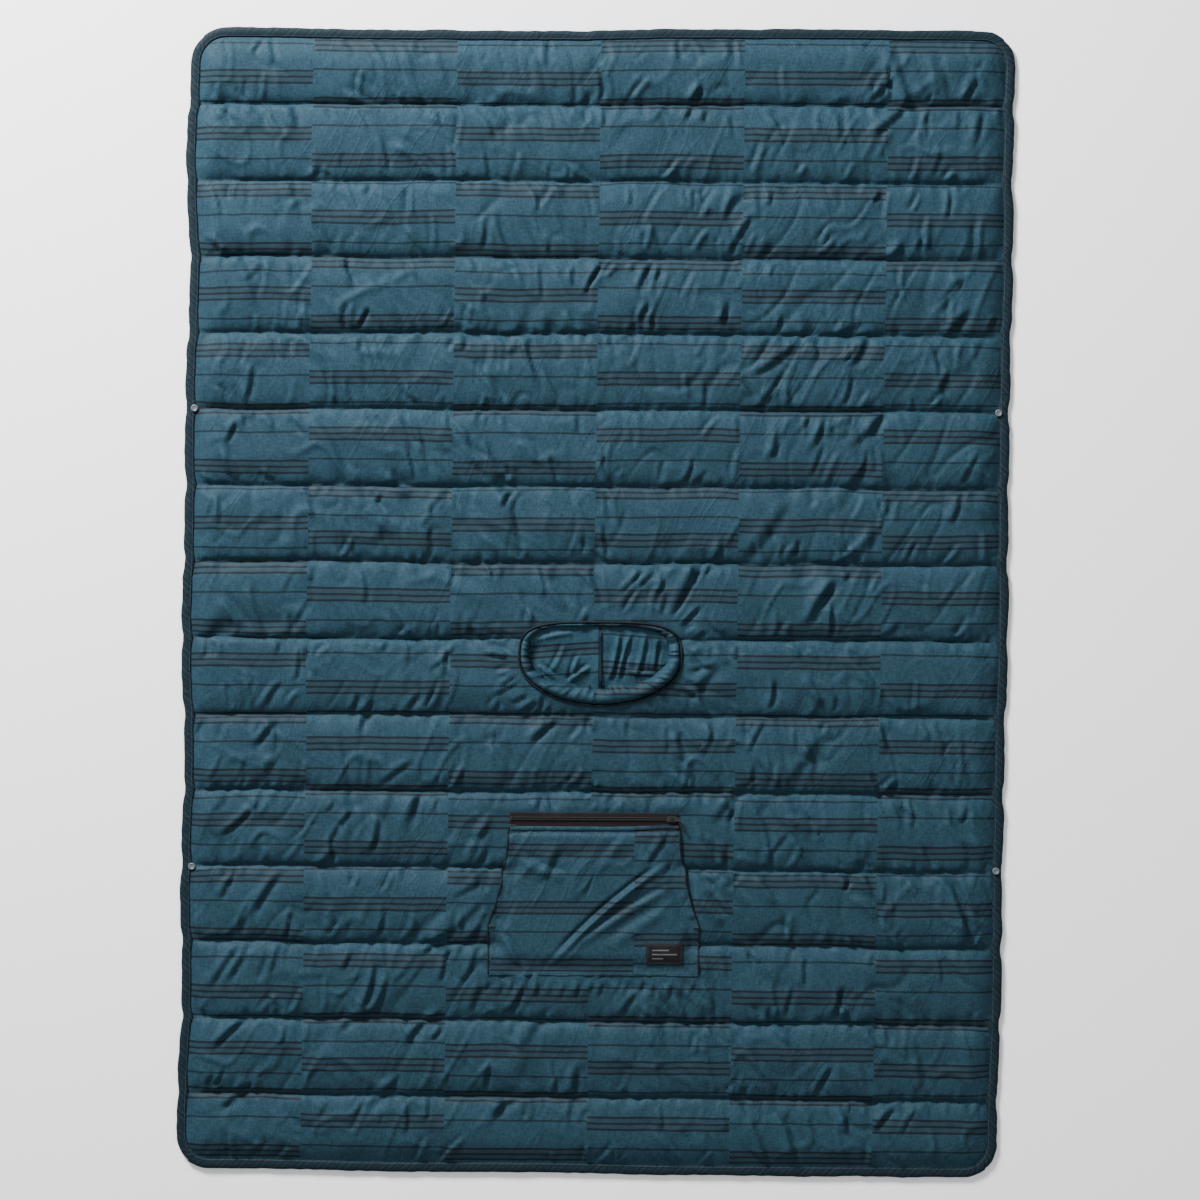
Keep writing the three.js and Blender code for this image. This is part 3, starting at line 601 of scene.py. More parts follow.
class Graph:
    """A material's nodes, with short ways to add and join them."""

    def __init__(self, name: str) -> None:
        """Makes an empty material with a principled shader.

        Args:
            name: The material's name.
        """
        self.material = bpy.data.materials.new(name)
        self.material.use_nodes = True
        self.tree = self.material.node_tree
        self.tree.nodes.clear()
        self.output = self.tree.nodes.new("ShaderNodeOutputMaterial")
        self.shader = self.tree.nodes.new("ShaderNodeBsdfPrincipled")
        self.join(self.shader.outputs["BSDF"], self.output.inputs["Surface"])

    def join(self, source: object, target: Socket) -> None:
        """Links a socket to an input, or sets the input to a plain value.

        Args:
            source: A socket or a plain value.
            target: The input.
        """
        if isinstance(source, Socket):
            self.tree.links.new(source, target)
        else:
            target.default_value = source

    def math(self, operation: str, *values: object) -> Socket:
        """A Math node's result.

        Args:
            operation: The node's operation.
            values: Its inputs, in order.

        Returns:
            The node's result.
        """
        node = self.tree.nodes.new("ShaderNodeMath")
        node.operation = operation
        for value, target in zip(values, node.inputs):
            self.join(value, target)
        return node.outputs[0]

    def times(self, first: object, second: object) -> Socket:
        """Two values multiplied."""
        return self.math("MULTIPLY", first, second)

    def plus(self, first: object, second: object) -> Socket:
        """Two values added."""
        return self.math("ADD", first, second)

    def minus(self, first: object, second: object) -> Socket:
        """The second value taken from the first."""
        return self.math("SUBTRACT", first, second)

    def times_plus(self, first: object, second: object, third: object) -> Socket:
        """Two values multiplied and a third added."""
        return self.math("MULTIPLY_ADD", first, second, third)

    def choose(self, share: object, first: object, second: object) -> Socket:
        """The first value where the share is 1 and the second where it is 0."""
        return self.plus(self.times(first, share), self.times(second, self.minus(1.0, share)))

    def fall(self, value: object, start: float, end: float) -> Socket:
        """1 up to the start, falling smoothly to 0 at the end.

        Args:
            value: What is looked at.
            start: Where it starts.
            end: Where it ends.

        Returns:
            The value, from 0 to 1.
        """
        node = self.tree.nodes.new("ShaderNodeMapRange")
        node.interpolation_type = "SMOOTHSTEP"
        settings = {"Value": value, "From Min": start, "From Max": end, "To Min": 1.0, "To Max": 0.0}
        for key, setting in settings.items():
            self.join(setting, node.inputs[key])
        return node.outputs[0]

    def combine(self, *parts: object) -> Socket:
        """A vector made of its numbers.

        Args:
            parts: The vector's numbers.

        Returns:
            The vector.
        """
        node = self.tree.nodes.new("ShaderNodeCombineXYZ")
        for part, target in zip(parts, node.inputs):
            self.join(part, target)
        return node.outputs[0]

    def coat(self, colour: object, rough: object, specular: float = 0.5) -> None:
        """Sets the shader's colour, roughness and specular level.

        Args:
            colour: The base colour.
            rough: The roughness.
            specular: The specular level.
        """
        settings = {"Base Color": colour, "Roughness": rough, "Specular IOR Level": specular}
        for key, setting in settings.items():
            self.join(setting, self.shader.inputs[key])

    def mix(self, share: object, first: object, second: object) -> Socket:
        """Two colours mixed.

        Args:
            share: How much of the second is mixed in.
            first: The first colour.
            second: The second colour.

        Returns:
            The mixed colour.
        """
        node = self.tree.nodes.new("ShaderNodeMix")
        node.data_type = "RGBA"
        self.join(share, node.inputs["Factor"])
        self.join(first, node.inputs[6])
        self.join(second, node.inputs[7])
        return node.outputs[2]

    def noise(self, place: object, scale: float, detail: float = 3.0, rough: float = 0.5) -> Socket:
        """A noise texture's value.

        Args:
            place: Where it is read.
            scale: How many patches there are to a metre.
            detail: How many finer layers it has.
            rough: How strong the finer layers are.

        Returns:
            The noise, from 0 to 1.
        """
        node = self.tree.nodes.new("ShaderNodeTexNoise")
        node.inputs["Scale"].default_value = scale
        node.inputs["Detail"].default_value = detail
        node.inputs["Roughness"].default_value = rough
        self.join(place, node.inputs["Vector"])
        return node.outputs[0]

    def cloth_place(self) -> tuple[Socket, Socket, Socket]:
        """The flat cloth's coordinates: the vector, its first and its second number.

        Returns:
            The three sockets.
        """
        node = self.tree.nodes.new("ShaderNodeUVMap")
        node.uv_map = "cloth"
        apart = self.tree.nodes.new("ShaderNodeSeparateXYZ")
        self.join(node.outputs[0], apart.inputs[0])
        return node.outputs[0], apart.outputs[0], apart.outputs[1]

    def object_place(self) -> Socket:
        """The place on the object."""
        return self.tree.nodes.new("ShaderNodeTexCoord").outputs["Object"]

    def bump(self, height: object, distance: float, strength: float = 1.0) -> None:
        """Adds a bump to the shader, over any bump that it already has.

        Args:
            height: The height, from 0 to 1.
            distance: How high 1 stands, in metres.
            strength: How strongly it shows.
        """
        node = self.tree.nodes.new("ShaderNodeBump")
        node.inputs["Distance"].default_value = distance
        node.inputs["Strength"].default_value = strength
        self.join(height, node.inputs["Height"])
        target = self.shader.inputs["Normal"]
        if target.is_linked:
            self.join(target.links[0].from_socket, node.inputs["Normal"])
        self.join(node.outputs[0], target)

    def weave(self, u: Socket, v: Socket, thread: float) -> Socket:
        """The height of a plain weave of threads of a given width.

        Args:
            u: The first cloth coordinate.
            v: The second cloth coordinate.
            thread: How wide the threads are.

        Returns:
            The height, from 0 to 1.
        """
        turns = math.pi / thread
        one, two = (self.math("SINE", self.times(place, turns)) for place in (u, v))
        return self.times_plus(self.times(one, two), 0.5, 0.5)


@dataclass(frozen=True)
class PlaidSpot:
    """How the print lies on one piece: the cloth's place of its first line and column, in metres."""

    first_line: float
    first_column: float
    turned: bool = False


@dataclass(frozen=True)
class PrintedCloth:
    """Coated nylon with a line print: threes and ones across columns that are stepped in turn."""

    name: str
    spot: PlaidSpot
    second_spot: PlaidSpot | None = None
    split: float = 0.0
    ground: Colour = (0.0085, 0.0250, 0.0366, 1.0)
    shade: Colour = (0.0125, 0.0242, 0.0333, 1.0)
    line: Colour = (0.0032, 0.0042, 0.0060, 1.0)
    column: float = 0.250
    step: float = 0.055
    repeat: float = 0.480
    band_gap: float = 0.100
    short_gap: float = 0.080
    line_gap: float = 0.010
    line_width: float = 0.0036
    single_after: float = 0.042
    darken: float = 1.0

    def _lines(self, g: Graph, u: object, v: object, spot: PlaidSpot) -> tuple[object, object]:
        """The print's dark lines and the greyer ground between three lines, each from 0 to 1.

        Args:
            g: The material's nodes.
            u: The first cloth coordinate.
            v: The second cloth coordinate.
            spot: How the print lies.

        Returns:
            The lines and the ground between them.
        """
        across = g.math("DIVIDE", g.minus(u, spot.first_column), self.column)
        number = g.math("FLOOR", across)
        odd = g.math("PINGPONG", number, 1.0)
        down = g.minus(spot.first_line, v)
        down = g.times_plus(odd, -self.step, down)
        place = g.math("WRAP", down, self.repeat, 0.0)
        # The first gap of the repeat is shorter than the others, so everything after it is moved on.
        late = g.math("GREATER_THAN", place, (self.single_after + self.short_gap - self.line_gap) / 2)
        place = g.times_plus(late, self.band_gap - self.short_gap, place)
        inside = g.math("WRAP", place, self.band_gap, 0.0)
        lines = None
        for offset in (-self.line_gap, 0.0, self.line_gap):
            for middle in (0.0, self.band_gap):
                one = self._edge(g, inside, middle + offset, self.line_width)
                lines = one if lines is None else g.math("MAXIMUM", lines, one)
        single = self._edge(g, inside, self.single_after, self.line_width * 0.9)
        lines = g.math("MAXIMUM", lines, g.times(single, 0.9))
        band = g.math("MINIMUM", inside, g.minus(self.band_gap, inside))
        between = g.math("LESS_THAN", band, self.line_gap * 1.2)
        part = g.minus(across, number)
        edge = g.math("MINIMUM", part, g.minus(1.0, part))
        seen = g.math("GREATER_THAN", edge, 0.0012)
        return g.times(lines, seen), g.times(between, seen)

    def _edge(self, g: Graph, place: object, at: float, width: float) -> Socket:
        """1 on a line, falling smoothly to 0 about half its width from its middle."""
        return g.fall(g.math("ABSOLUTE", g.minus(place, at)), width * 0.32, width * 0.68)

    def _kinks(self, g: Graph, u: object, v: object, lean: float, seed: float) -> Socket:
        """Thin raised creases that lean to one side, in patches.

        Args:
            g: The material's nodes.
            u: The first cloth coordinate.
            v: The second cloth coordinate.
            lean: How far they lean, in radians.
            seed: Picks the pattern.

        Returns:
            Their height, from 0 to 1.
        """
        stretch = 0.22
        c, s = math.cos(lean), math.sin(lean)
        across = g.times_plus(u, c, g.times(v, s))
        along = g.times(g.times_plus(v, c, g.times(u, -s)), stretch)
        place = g.combine(across, along, seed)
        web = g.math("ABSOLUTE", g.minus(g.noise(place, 46.0, 1.5, 0.5), 0.5))
        patch = g.times_plus(g.noise(place, 13.0, 0.0), 6.0, -2.9)
        patch.node.use_clamp = True
        return g.times(g.fall(web, 0.0, 0.075), patch)

    def make(self) -> bpy.types.Material:
        """Builds the material.

        Returns:
            The new material.
        """
        g = Graph(self.name)
        where, u, v = g.cloth_place()
        if self.spot.turned:
            diagonal = 0.7071
            u, v = g.times(g.plus(u, v), diagonal), g.times(g.minus(v, u), diagonal)
        printed = g.times_plus(g.minus(g.noise(where, 24.0, 2.0), 0.5), 0.0034, v)
        lines, between = self._lines(g, u, printed, self.spot)
        if self.second_spot is not None:
            other, other_between = self._lines(g, u, printed, self.second_spot)
            below = g.math("LESS_THAN", v, self.split)
            lines = g.choose(below, other, lines)
            between = g.choose(below, other_between, between)
        dye = g.noise(where, 9.0, 4.0, 0.6)
        weft, warp = g.combine(g.times(u, 0.3), v), g.combine(u, g.times(v, 0.3))
        fleck = g.times(g.plus(*(g.noise(threads, 300.0, 3.0, 0.8) for threads in (weft, warp))), 0.5)
        tone, grey = tint(self.ground, self.darken), tint(self.shade, self.darken)
        heather = g.times_plus(g.minus(fleck, 0.5), 6.0, dye)
        colour = g.mix(heather, tone, tint(tone, 1.6))
        colour = g.mix(g.times(between, 0.62), colour, grey)
        ink = g.times(lines, g.times_plus(fleck, 0.5, 0.50))
        rough = g.times_plus(g.noise(where, 60.0, 3.0), 0.16, 0.55)
        g.coat(g.mix(ink, colour, list(self.line)), rough, 0.085)
        g.bump(g.weave(u, v, 0.00035), 0.00006, 0.5)
        g.bump(g.noise(where, 150.0, 4.0, 0.55), 0.0008, 0.35)
        for lean, seed in ((0.5, 3.1), (-0.5, 9.7)):
            g.bump(self._kinks(g, u, v, lean, seed), 0.0012, 0.30)
        return g.material


@dataclass(frozen=True)
class PlainCloth:
    """Woven cloth of one colour."""

    name: str
    colour: Colour
    thread: float = 0.0004
    roughness: float = 0.6
    wrinkle: float = 0.0012

    def make(self) -> bpy.types.Material:
        """Builds the material.

        Returns:
            The new material.
        """
        g = Graph(self.name)
        where, u, v = g.cloth_place()
        colour = g.mix(g.noise(where, 24.0, 4.0, 0.6), list(self.colour), tint(self.colour, 1.35))
        g.coat(colour, g.times_plus(g.noise(where, 80.0, 2.0), 0.15, self.roughness - 0.08), 0.15)
        g.bump(g.weave(u, v, self.thread), 0.00012, 0.7)
        g.bump(g.noise(where, 90.0, 3.0), self.wrinkle, 0.5)
        return g.material


@dataclass(frozen=True)
class Wadding:
    """Loose white polyester fill."""

    name: str = "wadding"

    def make(self) -> bpy.types.Material:
        """Builds the material.

        Returns:
            The new material.
        """
        g = Graph(self.name)
        where = g.object_place()
        colour = g.mix(g.noise(where, 120.0, 5.0, 0.7), [0.55, 0.56, 0.57, 1.0], [0.8, 0.8, 0.81, 1.0])
        g.coat(colour, 0.95)
        g.bump(g.noise(where, 260.0, 6.0, 0.7), 0.0015, 0.8)
        return g.material


@dataclass(frozen=True)
class Thread:
    """Twisted polyester thread."""

    name: str
    colour: Colour

    def make(self) -> bpy.types.Material:
        """Builds the material.

        Returns:
            The new material.
        """
        g = Graph(self.name)
        where = g.object_place()
        g.coat(g.mix(g.noise(where, 700.0, 2.0), list(self.colour), tint(self.colour, 1.7)), 0.55)
        g.bump(g.noise(where, 1800.0, 2.0), 0.0001, 0.6)
        return g.material


@dataclass(frozen=True)
class Hard:
    """Moulded plastic or painted metal, slightly worn."""

    name: str
    colour: Colour
    roughness: float = 0.35
    metallic: float = 0.0

    def make(self) -> bpy.types.Material:
        """Builds the material.

        Returns:
            The new material.
        """
        g = Graph(self.name)
        where = g.object_place()
        wear = g.math("POWER", g.noise(where, 420.0, 5.0, 0.65), 2.5)
        rough = g.times_plus(g.noise(where, 900.0, 4.0), 0.2, self.roughness - 0.1)
        g.coat(g.mix(wear, list(self.colour), tint(self.colour, 1.3, 0.01)), rough)
        g.shader.inputs["Metallic"].default_value = self.metallic
        g.bump(g.noise(where, 1500.0, 3.0), 0.00004, 0.5)
        return g.material


@dataclass(frozen=True)
class WovenLabel:
    """A dark woven label with a light border and three plain bars."""

    width: float
    height: float
    name: str = "woven_label"

    def make(self) -> bpy.types.Material:
        """Builds the material.

        Returns:
            The new material.
        """
        g = Graph(self.name)
        where, u, v = g.cloth_place()

        def inside(place: object, low: float, high: float) -> Socket:
            """1 between two places."""
            return g.times(g.math("GREATER_THAN", place, low), g.math("LESS_THAN", place, high))

        def frame(rim: float) -> Socket:
            """1 further than a rim inside the label's edges."""
            return g.times(inside(u, rim, self.width - rim), inside(v, rim, self.height - rim))

        outer, inner = frame(0.0026), frame(0.0026 + 0.0008)
        marks = g.minus(outer, inner)
        bars = ((0.66, 0.16, 0.62), (0.46, 0.16, 0.84), (0.26, 0.16, 0.46))
        marks = g.times(marks, 0.25)
        for level, left, right in bars:
            row = inside(v, self.height * level, self.height * level + 0.0021)
            bar = g.times(row, inside(u, self.width * left, self.width * right))
            marks = g.math("MAXIMUM", marks, bar)
        marks = g.times(marks, g.times_plus(g.noise(where, 1400.0, 2.0), 0.5, 0.5))
        g.coat(g.mix(marks, [0.0046, 0.0046, 0.0062, 1.0], [0.10, 0.104, 0.10, 1.0]), 0.7, 0.15)
        g.bump(g.weave(u, v, 0.0005), 0.00012, 0.8)
        return g.material


class Finishes:
    """Every finish on the blanket, made once."""

    def __init__(self, layout: Layout) -> None:
        """Makes the materials.

        Args:
            layout: The blanket's sizes.
        """
        back = PlaidSpot(first_line=layout.length / 2 - 0.3315, first_column=-0.0025)
        front = PlaidSpot(first_line=layout.length / 2 - 0.7714, first_column=-0.0025)
        self.shell = PrintedCloth("printed_shell", back, front, layout.fold_y).make()
        pocket = PlaidSpot(first_line=layout.length / 2 - 1.354, first_column=0.0707 - 0.25)
        self.pocket = PrintedCloth("printed_pocket", pocket).make()
        hood = PlaidSpot(first_line=layout.length / 2 - 0.901, first_column=-0.25 + layout.neck_x)
        # The hood's print is 1.22 times lighter than the same print on the shell: painted light, lifting the
        # sunken hood out of its shade.
        self.hood = PrintedCloth("printed_hood_painted_light", hood, darken=1.22).make()
        bias = PlaidSpot(first_line=0.0, first_column=0.0, turned=True)
        self.binding = PrintedCloth(
            "printed_binding",
            bias,
            darken=0.6,
            band_gap=0.026,
            repeat=0.26,
            short_gap=0.026,
            line_gap=0.0085,
            line_width=0.0026,
            single_after=0.013,
        ).make()
        self.collar = PrintedCloth("printed_collar", front).make()
        # The dark piping cloth edges the neck hole and also dresses the pocket's side hems, where its
        # darkness is painted shadow.
        self.piping = PlainCloth("dark_piping_and_painted_shadow", (0.0030, 0.0057, 0.0088, 1.0), 0.0006, 0.7, 0.0006).make()
        self.lining = PlainCloth("lining_taffeta", (0.010, 0.013, 0.019, 1.0)).make()
        self.tape = PlainCloth("zip_tape", (0.0052, 0.0028, 0.0038, 1.0), 0.0008, 0.7, 0.0003).make()
        self.wadding = Wadding().make()
        self.thread = Thread("quilting_thread", (0.0092, 0.015, 0.025, 1.0)).make()
        self.edge_thread = Thread("edge_thread", (0.025, 0.042, 0.058, 1.0)).make()
        self.snap = Hard("snap_acetal", (0.062, 0.077, 0.090, 1.0), 0.42).make()
        self.zip_metal = Hard("painted_zip_metal", (0.0070, 0.0072, 0.0088, 1.0), 0.42, 0.3).make()
        self.coil = Hard("zip_coil_nylon", (0.0050, 0.0042, 0.0054, 1.0), 0.55).make()


def dress(piece: bpy.types.Object, material: bpy.types.Material) -> None:
    """Gives a piece its finish.

    Args:
        piece: The piece.
        material: The finish.
    """
    piece.data.materials.clear()
    piece.data.materials.append(material)


# ---------------------------------------------------------------- stitches


@dataclass(frozen=True)
class BeadRow:
    """Rounded pieces laid one after another along paths by geometry nodes: stitches and zip teeth."""

    pitch: float
    size: tuple[float, float, float]
    segments: int
    rings: int
    lean: float = 0.0
    follows: bool = True

    def values(self) -> dict[str, float]:
        """The measures that the nodes take in, by the names of their sockets."""
        length, width, height = self.size
        return {"Pitch": self.pitch, "Length": length, "Width": width, "Height": height, "Lean": self.lean}

    def tree(self, material: bpy.types.Material) -> bpy.types.NodeTree:
        """Builds the nodes.

        Args:
            material: The row's finish.

        Returns:
            The node group.
        """
        tree = bpy.data.node_groups.new("bead_row", "GeometryNodeTree")
        face = tree.interface
        face.new_socket("Path", in_out="INPUT", socket_type="NodeSocketGeometry")
        for name in self.values():
            face.new_socket(name, in_out="INPUT", socket_type="NodeSocketFloat")
        face.new_socket("Beads", in_out="OUTPUT", socket_type="NodeSocketGeometry")
        new, link = tree.nodes.new, tree.links.new
        start, end = new("NodeGroupInput"), new("NodeGroupOutput")
        curve, points = new("GeometryNodeMeshToCurve"), new("GeometryNodeResampleCurve")
        if "Mode" in points.inputs:
            points.inputs["Mode"].default_value = "Length"
        else:
            points.mode = "LENGTH"
        ball = new("GeometryNodeMeshUVSphere")
        for key, value in (("Segments", self.segments), ("Rings", self.rings), ("Radius", 0.5)):
            ball.inputs[key].default_value = value
        size, turn = new("ShaderNodeCombineXYZ"), new("ShaderNodeCombineXYZ")
        shape, place = new("GeometryNodeTransform"), new("GeometryNodeInstanceOnPoints")
        real, shade = new("GeometryNodeRealizeInstances"), new("GeometryNodeSetShadeSmooth")
        paint = new("GeometryNodeSetMaterial")
        paint.inputs["Material"].default_value = material
        for axis, key in enumerate(("Length", "Width", "Height")):
            link(start.outputs[key], size.inputs[axis])
        link(start.outputs["Lean"], turn.inputs[2])
        link(start.outputs["Path"], curve.inputs[0])
        link(curve.outputs[0], points.inputs["Curve"])
        link(start.outputs["Pitch"], points.inputs["Length"])
        link(points.outputs[0], place.inputs["Points"])
        if self.follows:
            tangent, align = new("GeometryNodeInputTangent"), new("FunctionNodeAlignRotationToVector")
            align.axis = "X"
            link(tangent.outputs[0], align.inputs["Vector"])
            link(align.outputs[0], place.inputs["Rotation"])
        link(ball.outputs["Mesh"], shape.inputs["Geometry"])
        link(size.outputs[0], shape.inputs["Scale"])
        link(turn.outputs[0], shape.inputs["Rotation"])
        link(shape.outputs[0], place.inputs["Instance"])
        link(place.outputs[0], real.inputs[0])
        link(real.outputs[0], shade.inputs[0])
        link(shade.outputs[0], paint.inputs["Geometry"])
        link(paint.outputs[0], end.inputs[0])
        return tree

    def make(
        self, name: str, paths: Sequence[Array], material: bpy.types.Material, slot: str
    ) -> bpy.types.Object:
        """Lays the row along paths.

        Args:
            name: The piece's name.
            paths: The points of each path.
            material: The row's finish.
            slot: Not used.

        Returns:
            A plain mesh of the whole row.
        """
        edges: list[tuple[int, int]] = []
        offset = 0
        for path in paths:
            edges += [(offset + i, offset + i + 1) for i in range(len(path) - 1)]
            offset += len(path)
        mesh = bpy.data.meshes.new(name + "_path")
        mesh.from_pydata(np.concatenate(paths).tolist(), edges, [])
        piece = linked(name, mesh)
        modifier = piece.modifiers.new("beads", "NODES")
        tree = self.tree(material)
        modifier.node_group = tree
        values = self.values()
        for item in tree.interface.items_tree:
            if item.item_type == "SOCKET" and item.in_out == "INPUT" and item.name in values:
                modifier[item.identifier] = float(values[item.name])
        graph = bpy.context.evaluated_depsgraph_get()
        made = bpy.data.meshes.new_from_object(piece.evaluated_get(graph), depsgraph=graph)
        piece.modifiers.remove(modifier)
        piece.data = made
        made.name = name
        dress(piece, material)
        return piece


def stitching(pitch: float = 0.0036, length: float = 0.0025, thread: float = 0.0009) -> BeadRow:
    """A row of stitches of a given pitch, length and thread width."""
    return BeadRow(pitch, (length, thread, thread), 5, 4)


# ---------------------------------------------------------------- the quilt


@dataclass
class Quilt:
    """The printed shell, the wadding and the lining, sewn through in channels."""

    layout: Layout
    finishes: Finishes
    step: float = 0.00417
    extra_x: float = 0.034
    extra_y: float = 0.012
    inset: float = 0.004
    neck_rise: float = 0.008
    neck_ease: float = 0.05
    lowest: float = 0.0044
    under_pocket: float = 0.0152
    creases: tuple[Crease, ...] = ()

    def seam_line(self, number: int, x: Array) -> Array:
        """How far a seam wavers along Y."""
        slow = waviness(x, np.full_like(x, number * 7.0), 0.11, 1.0, 5 + number)
        return 0.0026 * slow + 0.0012 * waviness(x, np.full_like(x, number * 7.0), 0.028, 1.0, 25 + number)

    def inside_rim(self, x: Array, y: Array) -> Array:
        """Distance inside the rounded rim.

        Args:
            x: Places along X.
            y: Places along Y.

        Returns:
            Metres, less than 0 outside it.
        """
        lay = self.layout
        over_x = np.abs(x) - (lay.width / 2 - lay.corner)
        over_y = np.abs(y) - (lay.length / 2 - lay.corner)
        corner = np.hypot(np.maximum(over_x, 0), np.maximum(over_y, 0))
        return lay.corner - corner - np.minimum(np.maximum(over_x, over_y), 0)

    def profile(self, x: Array, y: Array) -> Array:
        """The wadding's full height over the sewn layers, from 0 to 1.

        Args:
            x: Places along X.
            y: Places along Y.

        Returns:
            The share at each place.
        """
        lay = self.layout
        away = np.abs(lay.nearest_seam(y, 0, lay.channels)[1]) / (lay.channel / 2)
        crown = np.sqrt(np.clip(1 - (1 - np.clip(away, 0, 1)) ** 2.4, 0, 1))
        edge = np.sqrt(smooth((self.inside_rim(x, y) - 0.016) / 0.045))
        neck = smooth(self.neck_distance(x, y) / self.neck_ease)
        return crown * edge * (0.55 + 0.45 * neck)

    def neck_distance(self, x: Array, y: Array, grow: float = 0.0) -> Array:
        """Rough distance outside the neck hole's outline, less than 0 inside it.

        Args:
            x: Places along X.
            y: Places along Y.
            grow: How far the hole is grown first.

        Returns:
            Metres at each place.
        """
        lay = self.layout
        a = lay.neck_half_width + grow
        x = x - lay.neck_x
        front = y < lay.neck_y
        depth = np.where(front, lay.neck_front, lay.neck_back) + grow
        power = np.where(front, lay.front_roundness, lay.back_roundness)
        q = (np.abs(x / a) ** power + np.abs((y - lay.neck_y) / depth) ** power) ** (1.0 / power)
        reach = np.where(front, np.minimum(a, depth), depth)
        return (q - 1.0) * reach

    def neck_outline(self, grow: float, count: int) -> Array:
        """The neck hole's outline, grown by a distance, from the back middle clockwise seen from above.

        Args:
            grow: How far the hole is grown.
            count: How many points to make.

        Returns:
            The outline's points.
        """
        lay = self.layout
        angle = np.linspace(0, 2 * math.pi, count, endpoint=False)
        sx, sy = np.sin(angle), np.cos(angle)
        a = lay.neck_half_width + grow
        front = sy < 0
        depth = np.where(front, lay.neck_front, lay.neck_back) + grow
        power = np.where(front, lay.front_roundness, lay.back_roundness)
        q = (np.abs(sx) ** power + np.abs(sy) ** power) ** (1.0 / power)
        return np.stack([lay.neck_x + a * sx / q, lay.neck_y + depth * sy / q], axis=-1)

    def _fields(self, xs: Array, ys: Array, wave: float) -> tuple[Array, Array, Array, Array, Array]:
        """The first height, the held points, the lowest and highest heights, and Y on the wavering seams.

        Args:
            xs: The grid's columns.
            ys: The grid's rows.
            wave: How high the first waves are.

        Returns:
            All five, on the grid.
        """
        lay = self.layout
        gx, gy = np.meshgrid(xs, ys)
        share = self.profile(gx, gy)
        base = np.full_like(gx, lay.seam_height)
        neck = self.neck_distance(gx, gy)
        base += self.neck_rise * (1 - smooth(neck / self.neck_ease))
        high = base + (lay.crown - lay.seam_height) * share
        high = np.maximum(high, base)
        low = base + (high - base) * 0.45 - 0.0004
        held = self.inside_rim(gx, gy) < 0.012
        held |= neck < 0.006
        wavering = gy.copy()
        for number in range(1, lay.channels):
            row = int(np.argmin(np.abs(ys - lay.seam_y(number))))
            held[row] = True
            wavering[row] = ys[row] + self.seam_line(number, xs)
            uneven = waviness(xs, np.full_like(xs, 0.3 * number), 0.03, 1.0, 60 + number)
            near = 1 - smooth(neck[row] / self.neck_ease)
            high[row] = np.maximum(lay.seam_height + 0.0009 * uneven + self.neck_rise * near, 0)
            low[row] = high[row]
        start = low + (high - low) * 0.6
        start += wave * waviness(gx, gy, 0.016, 0.05, 11) + 0.6 * wave * waviness(gx, gy, 0.045, 0.09, 12)
        start = np.where(held, high, np.clip(start, low, high))
        return start, held, low, high, wavering

    def shell_points(self) -> tuple[Array, Array, Array]:
        """The settled shell: its points and the grid's columns and rows.

        Returns:
            The three.
        """
        lay = self.layout
        rows_per_channel = int(round(lay.channel / self.step / 4)) * 4
        count_y = rows_per_channel * lay.channels + 1
        count_x = int(round(lay.width / self.step / 12)) * 12 + 1
        coarse_y = (count_y - 1) // 2 + 1
        coarse_x = (count_x - 1) // 2 + 1
        points = None
        first, second = ((260, 170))
        for rows, columns, times in ((coarse_y, coarse_x, first), (count_y, count_x, second)):
            xs = np.linspace(-lay.width / 2 + self.inset, lay.width / 2 - self.inset, columns)
            ys = np.linspace(-lay.length / 2, lay.length / 2, rows)
            start, held, low, high, wavering = self._fields(xs, ys, 0.0016)
            sheet = GatheredSheet(xs, ys, start, held, low, high, self.extra_x, self.extra_y)
            sheet.points[..., 1] = np.where(held, wavering, sheet.points[..., 1])
            if points is not None:
                free = ~held
                carried = finer(points, rows, columns)
                sheet.points[free] = carried[free]
                jitter = 0.0005 * waviness(*np.meshgrid(xs, ys), 0.012, 0.03, 21)
                sheet.points[..., 2] += np.where(held, 0.0, jitter)
            points = sheet.settle(times, 0.05, 0.045 if rows == coarse_y else 0.05)
        return points, xs, ys

    def build(self) -> dict[str, Array]:
        """Makes the shell, the wadding and the lining.

        Returns:
            The shell's points as it lies, and its flat grid's columns and rows, for the pieces on it.
        """
        lay = self.layout
        points, xs, ys = self.shell_points()
        rows, columns = points.shape[:2]
        gx, gy = np.meshgrid(xs, ys)
        uv = np.stack([gx, gy], axis=-1)
        lifted = np.zeros((rows, columns))
        for crease in self.creases:
            lifted = lifted + crease.rise(points[..., 0], points[..., 1])
        calm = smooth((self.inside_rim(gx, gy) - 0.014) / 0.02) * smooth(self.neck_distance(gx, gy) / 0.012)
        lifted = (lifted + self.crumple(gx, gy) + self.strokes(xs, ys)) * calm
        points[..., 2] = np.maximum(points[..., 2] + lifted, self.lowest)
        capped = np.minimum(points[..., 2], self.under_pocket)
        points[..., 2] += (capped - points[..., 2]) * self.pressed(gx, gy)

        rim = self.inside_rim(points[..., 0], points[..., 1])
        outside = rim < self.inset
        cx = np.clip(points[..., 0], -(lay.width / 2 - lay.corner), lay.width / 2 - lay.corner)
        cy = np.clip(points[..., 1], -(lay.length / 2 - lay.corner), lay.length / 2 - lay.corner)
        dx, dy = points[..., 0] - cx, points[..., 1] - cy
        size = np.maximum(np.hypot(dx, dy), 1e-9)
        reach = lay.corner - self.inset
        points[..., 0] = np.where(outside, cx + dx / size * reach, points[..., 0])
        points[..., 1] = np.where(outside, cy + dy / size * reach, points[..., 1])

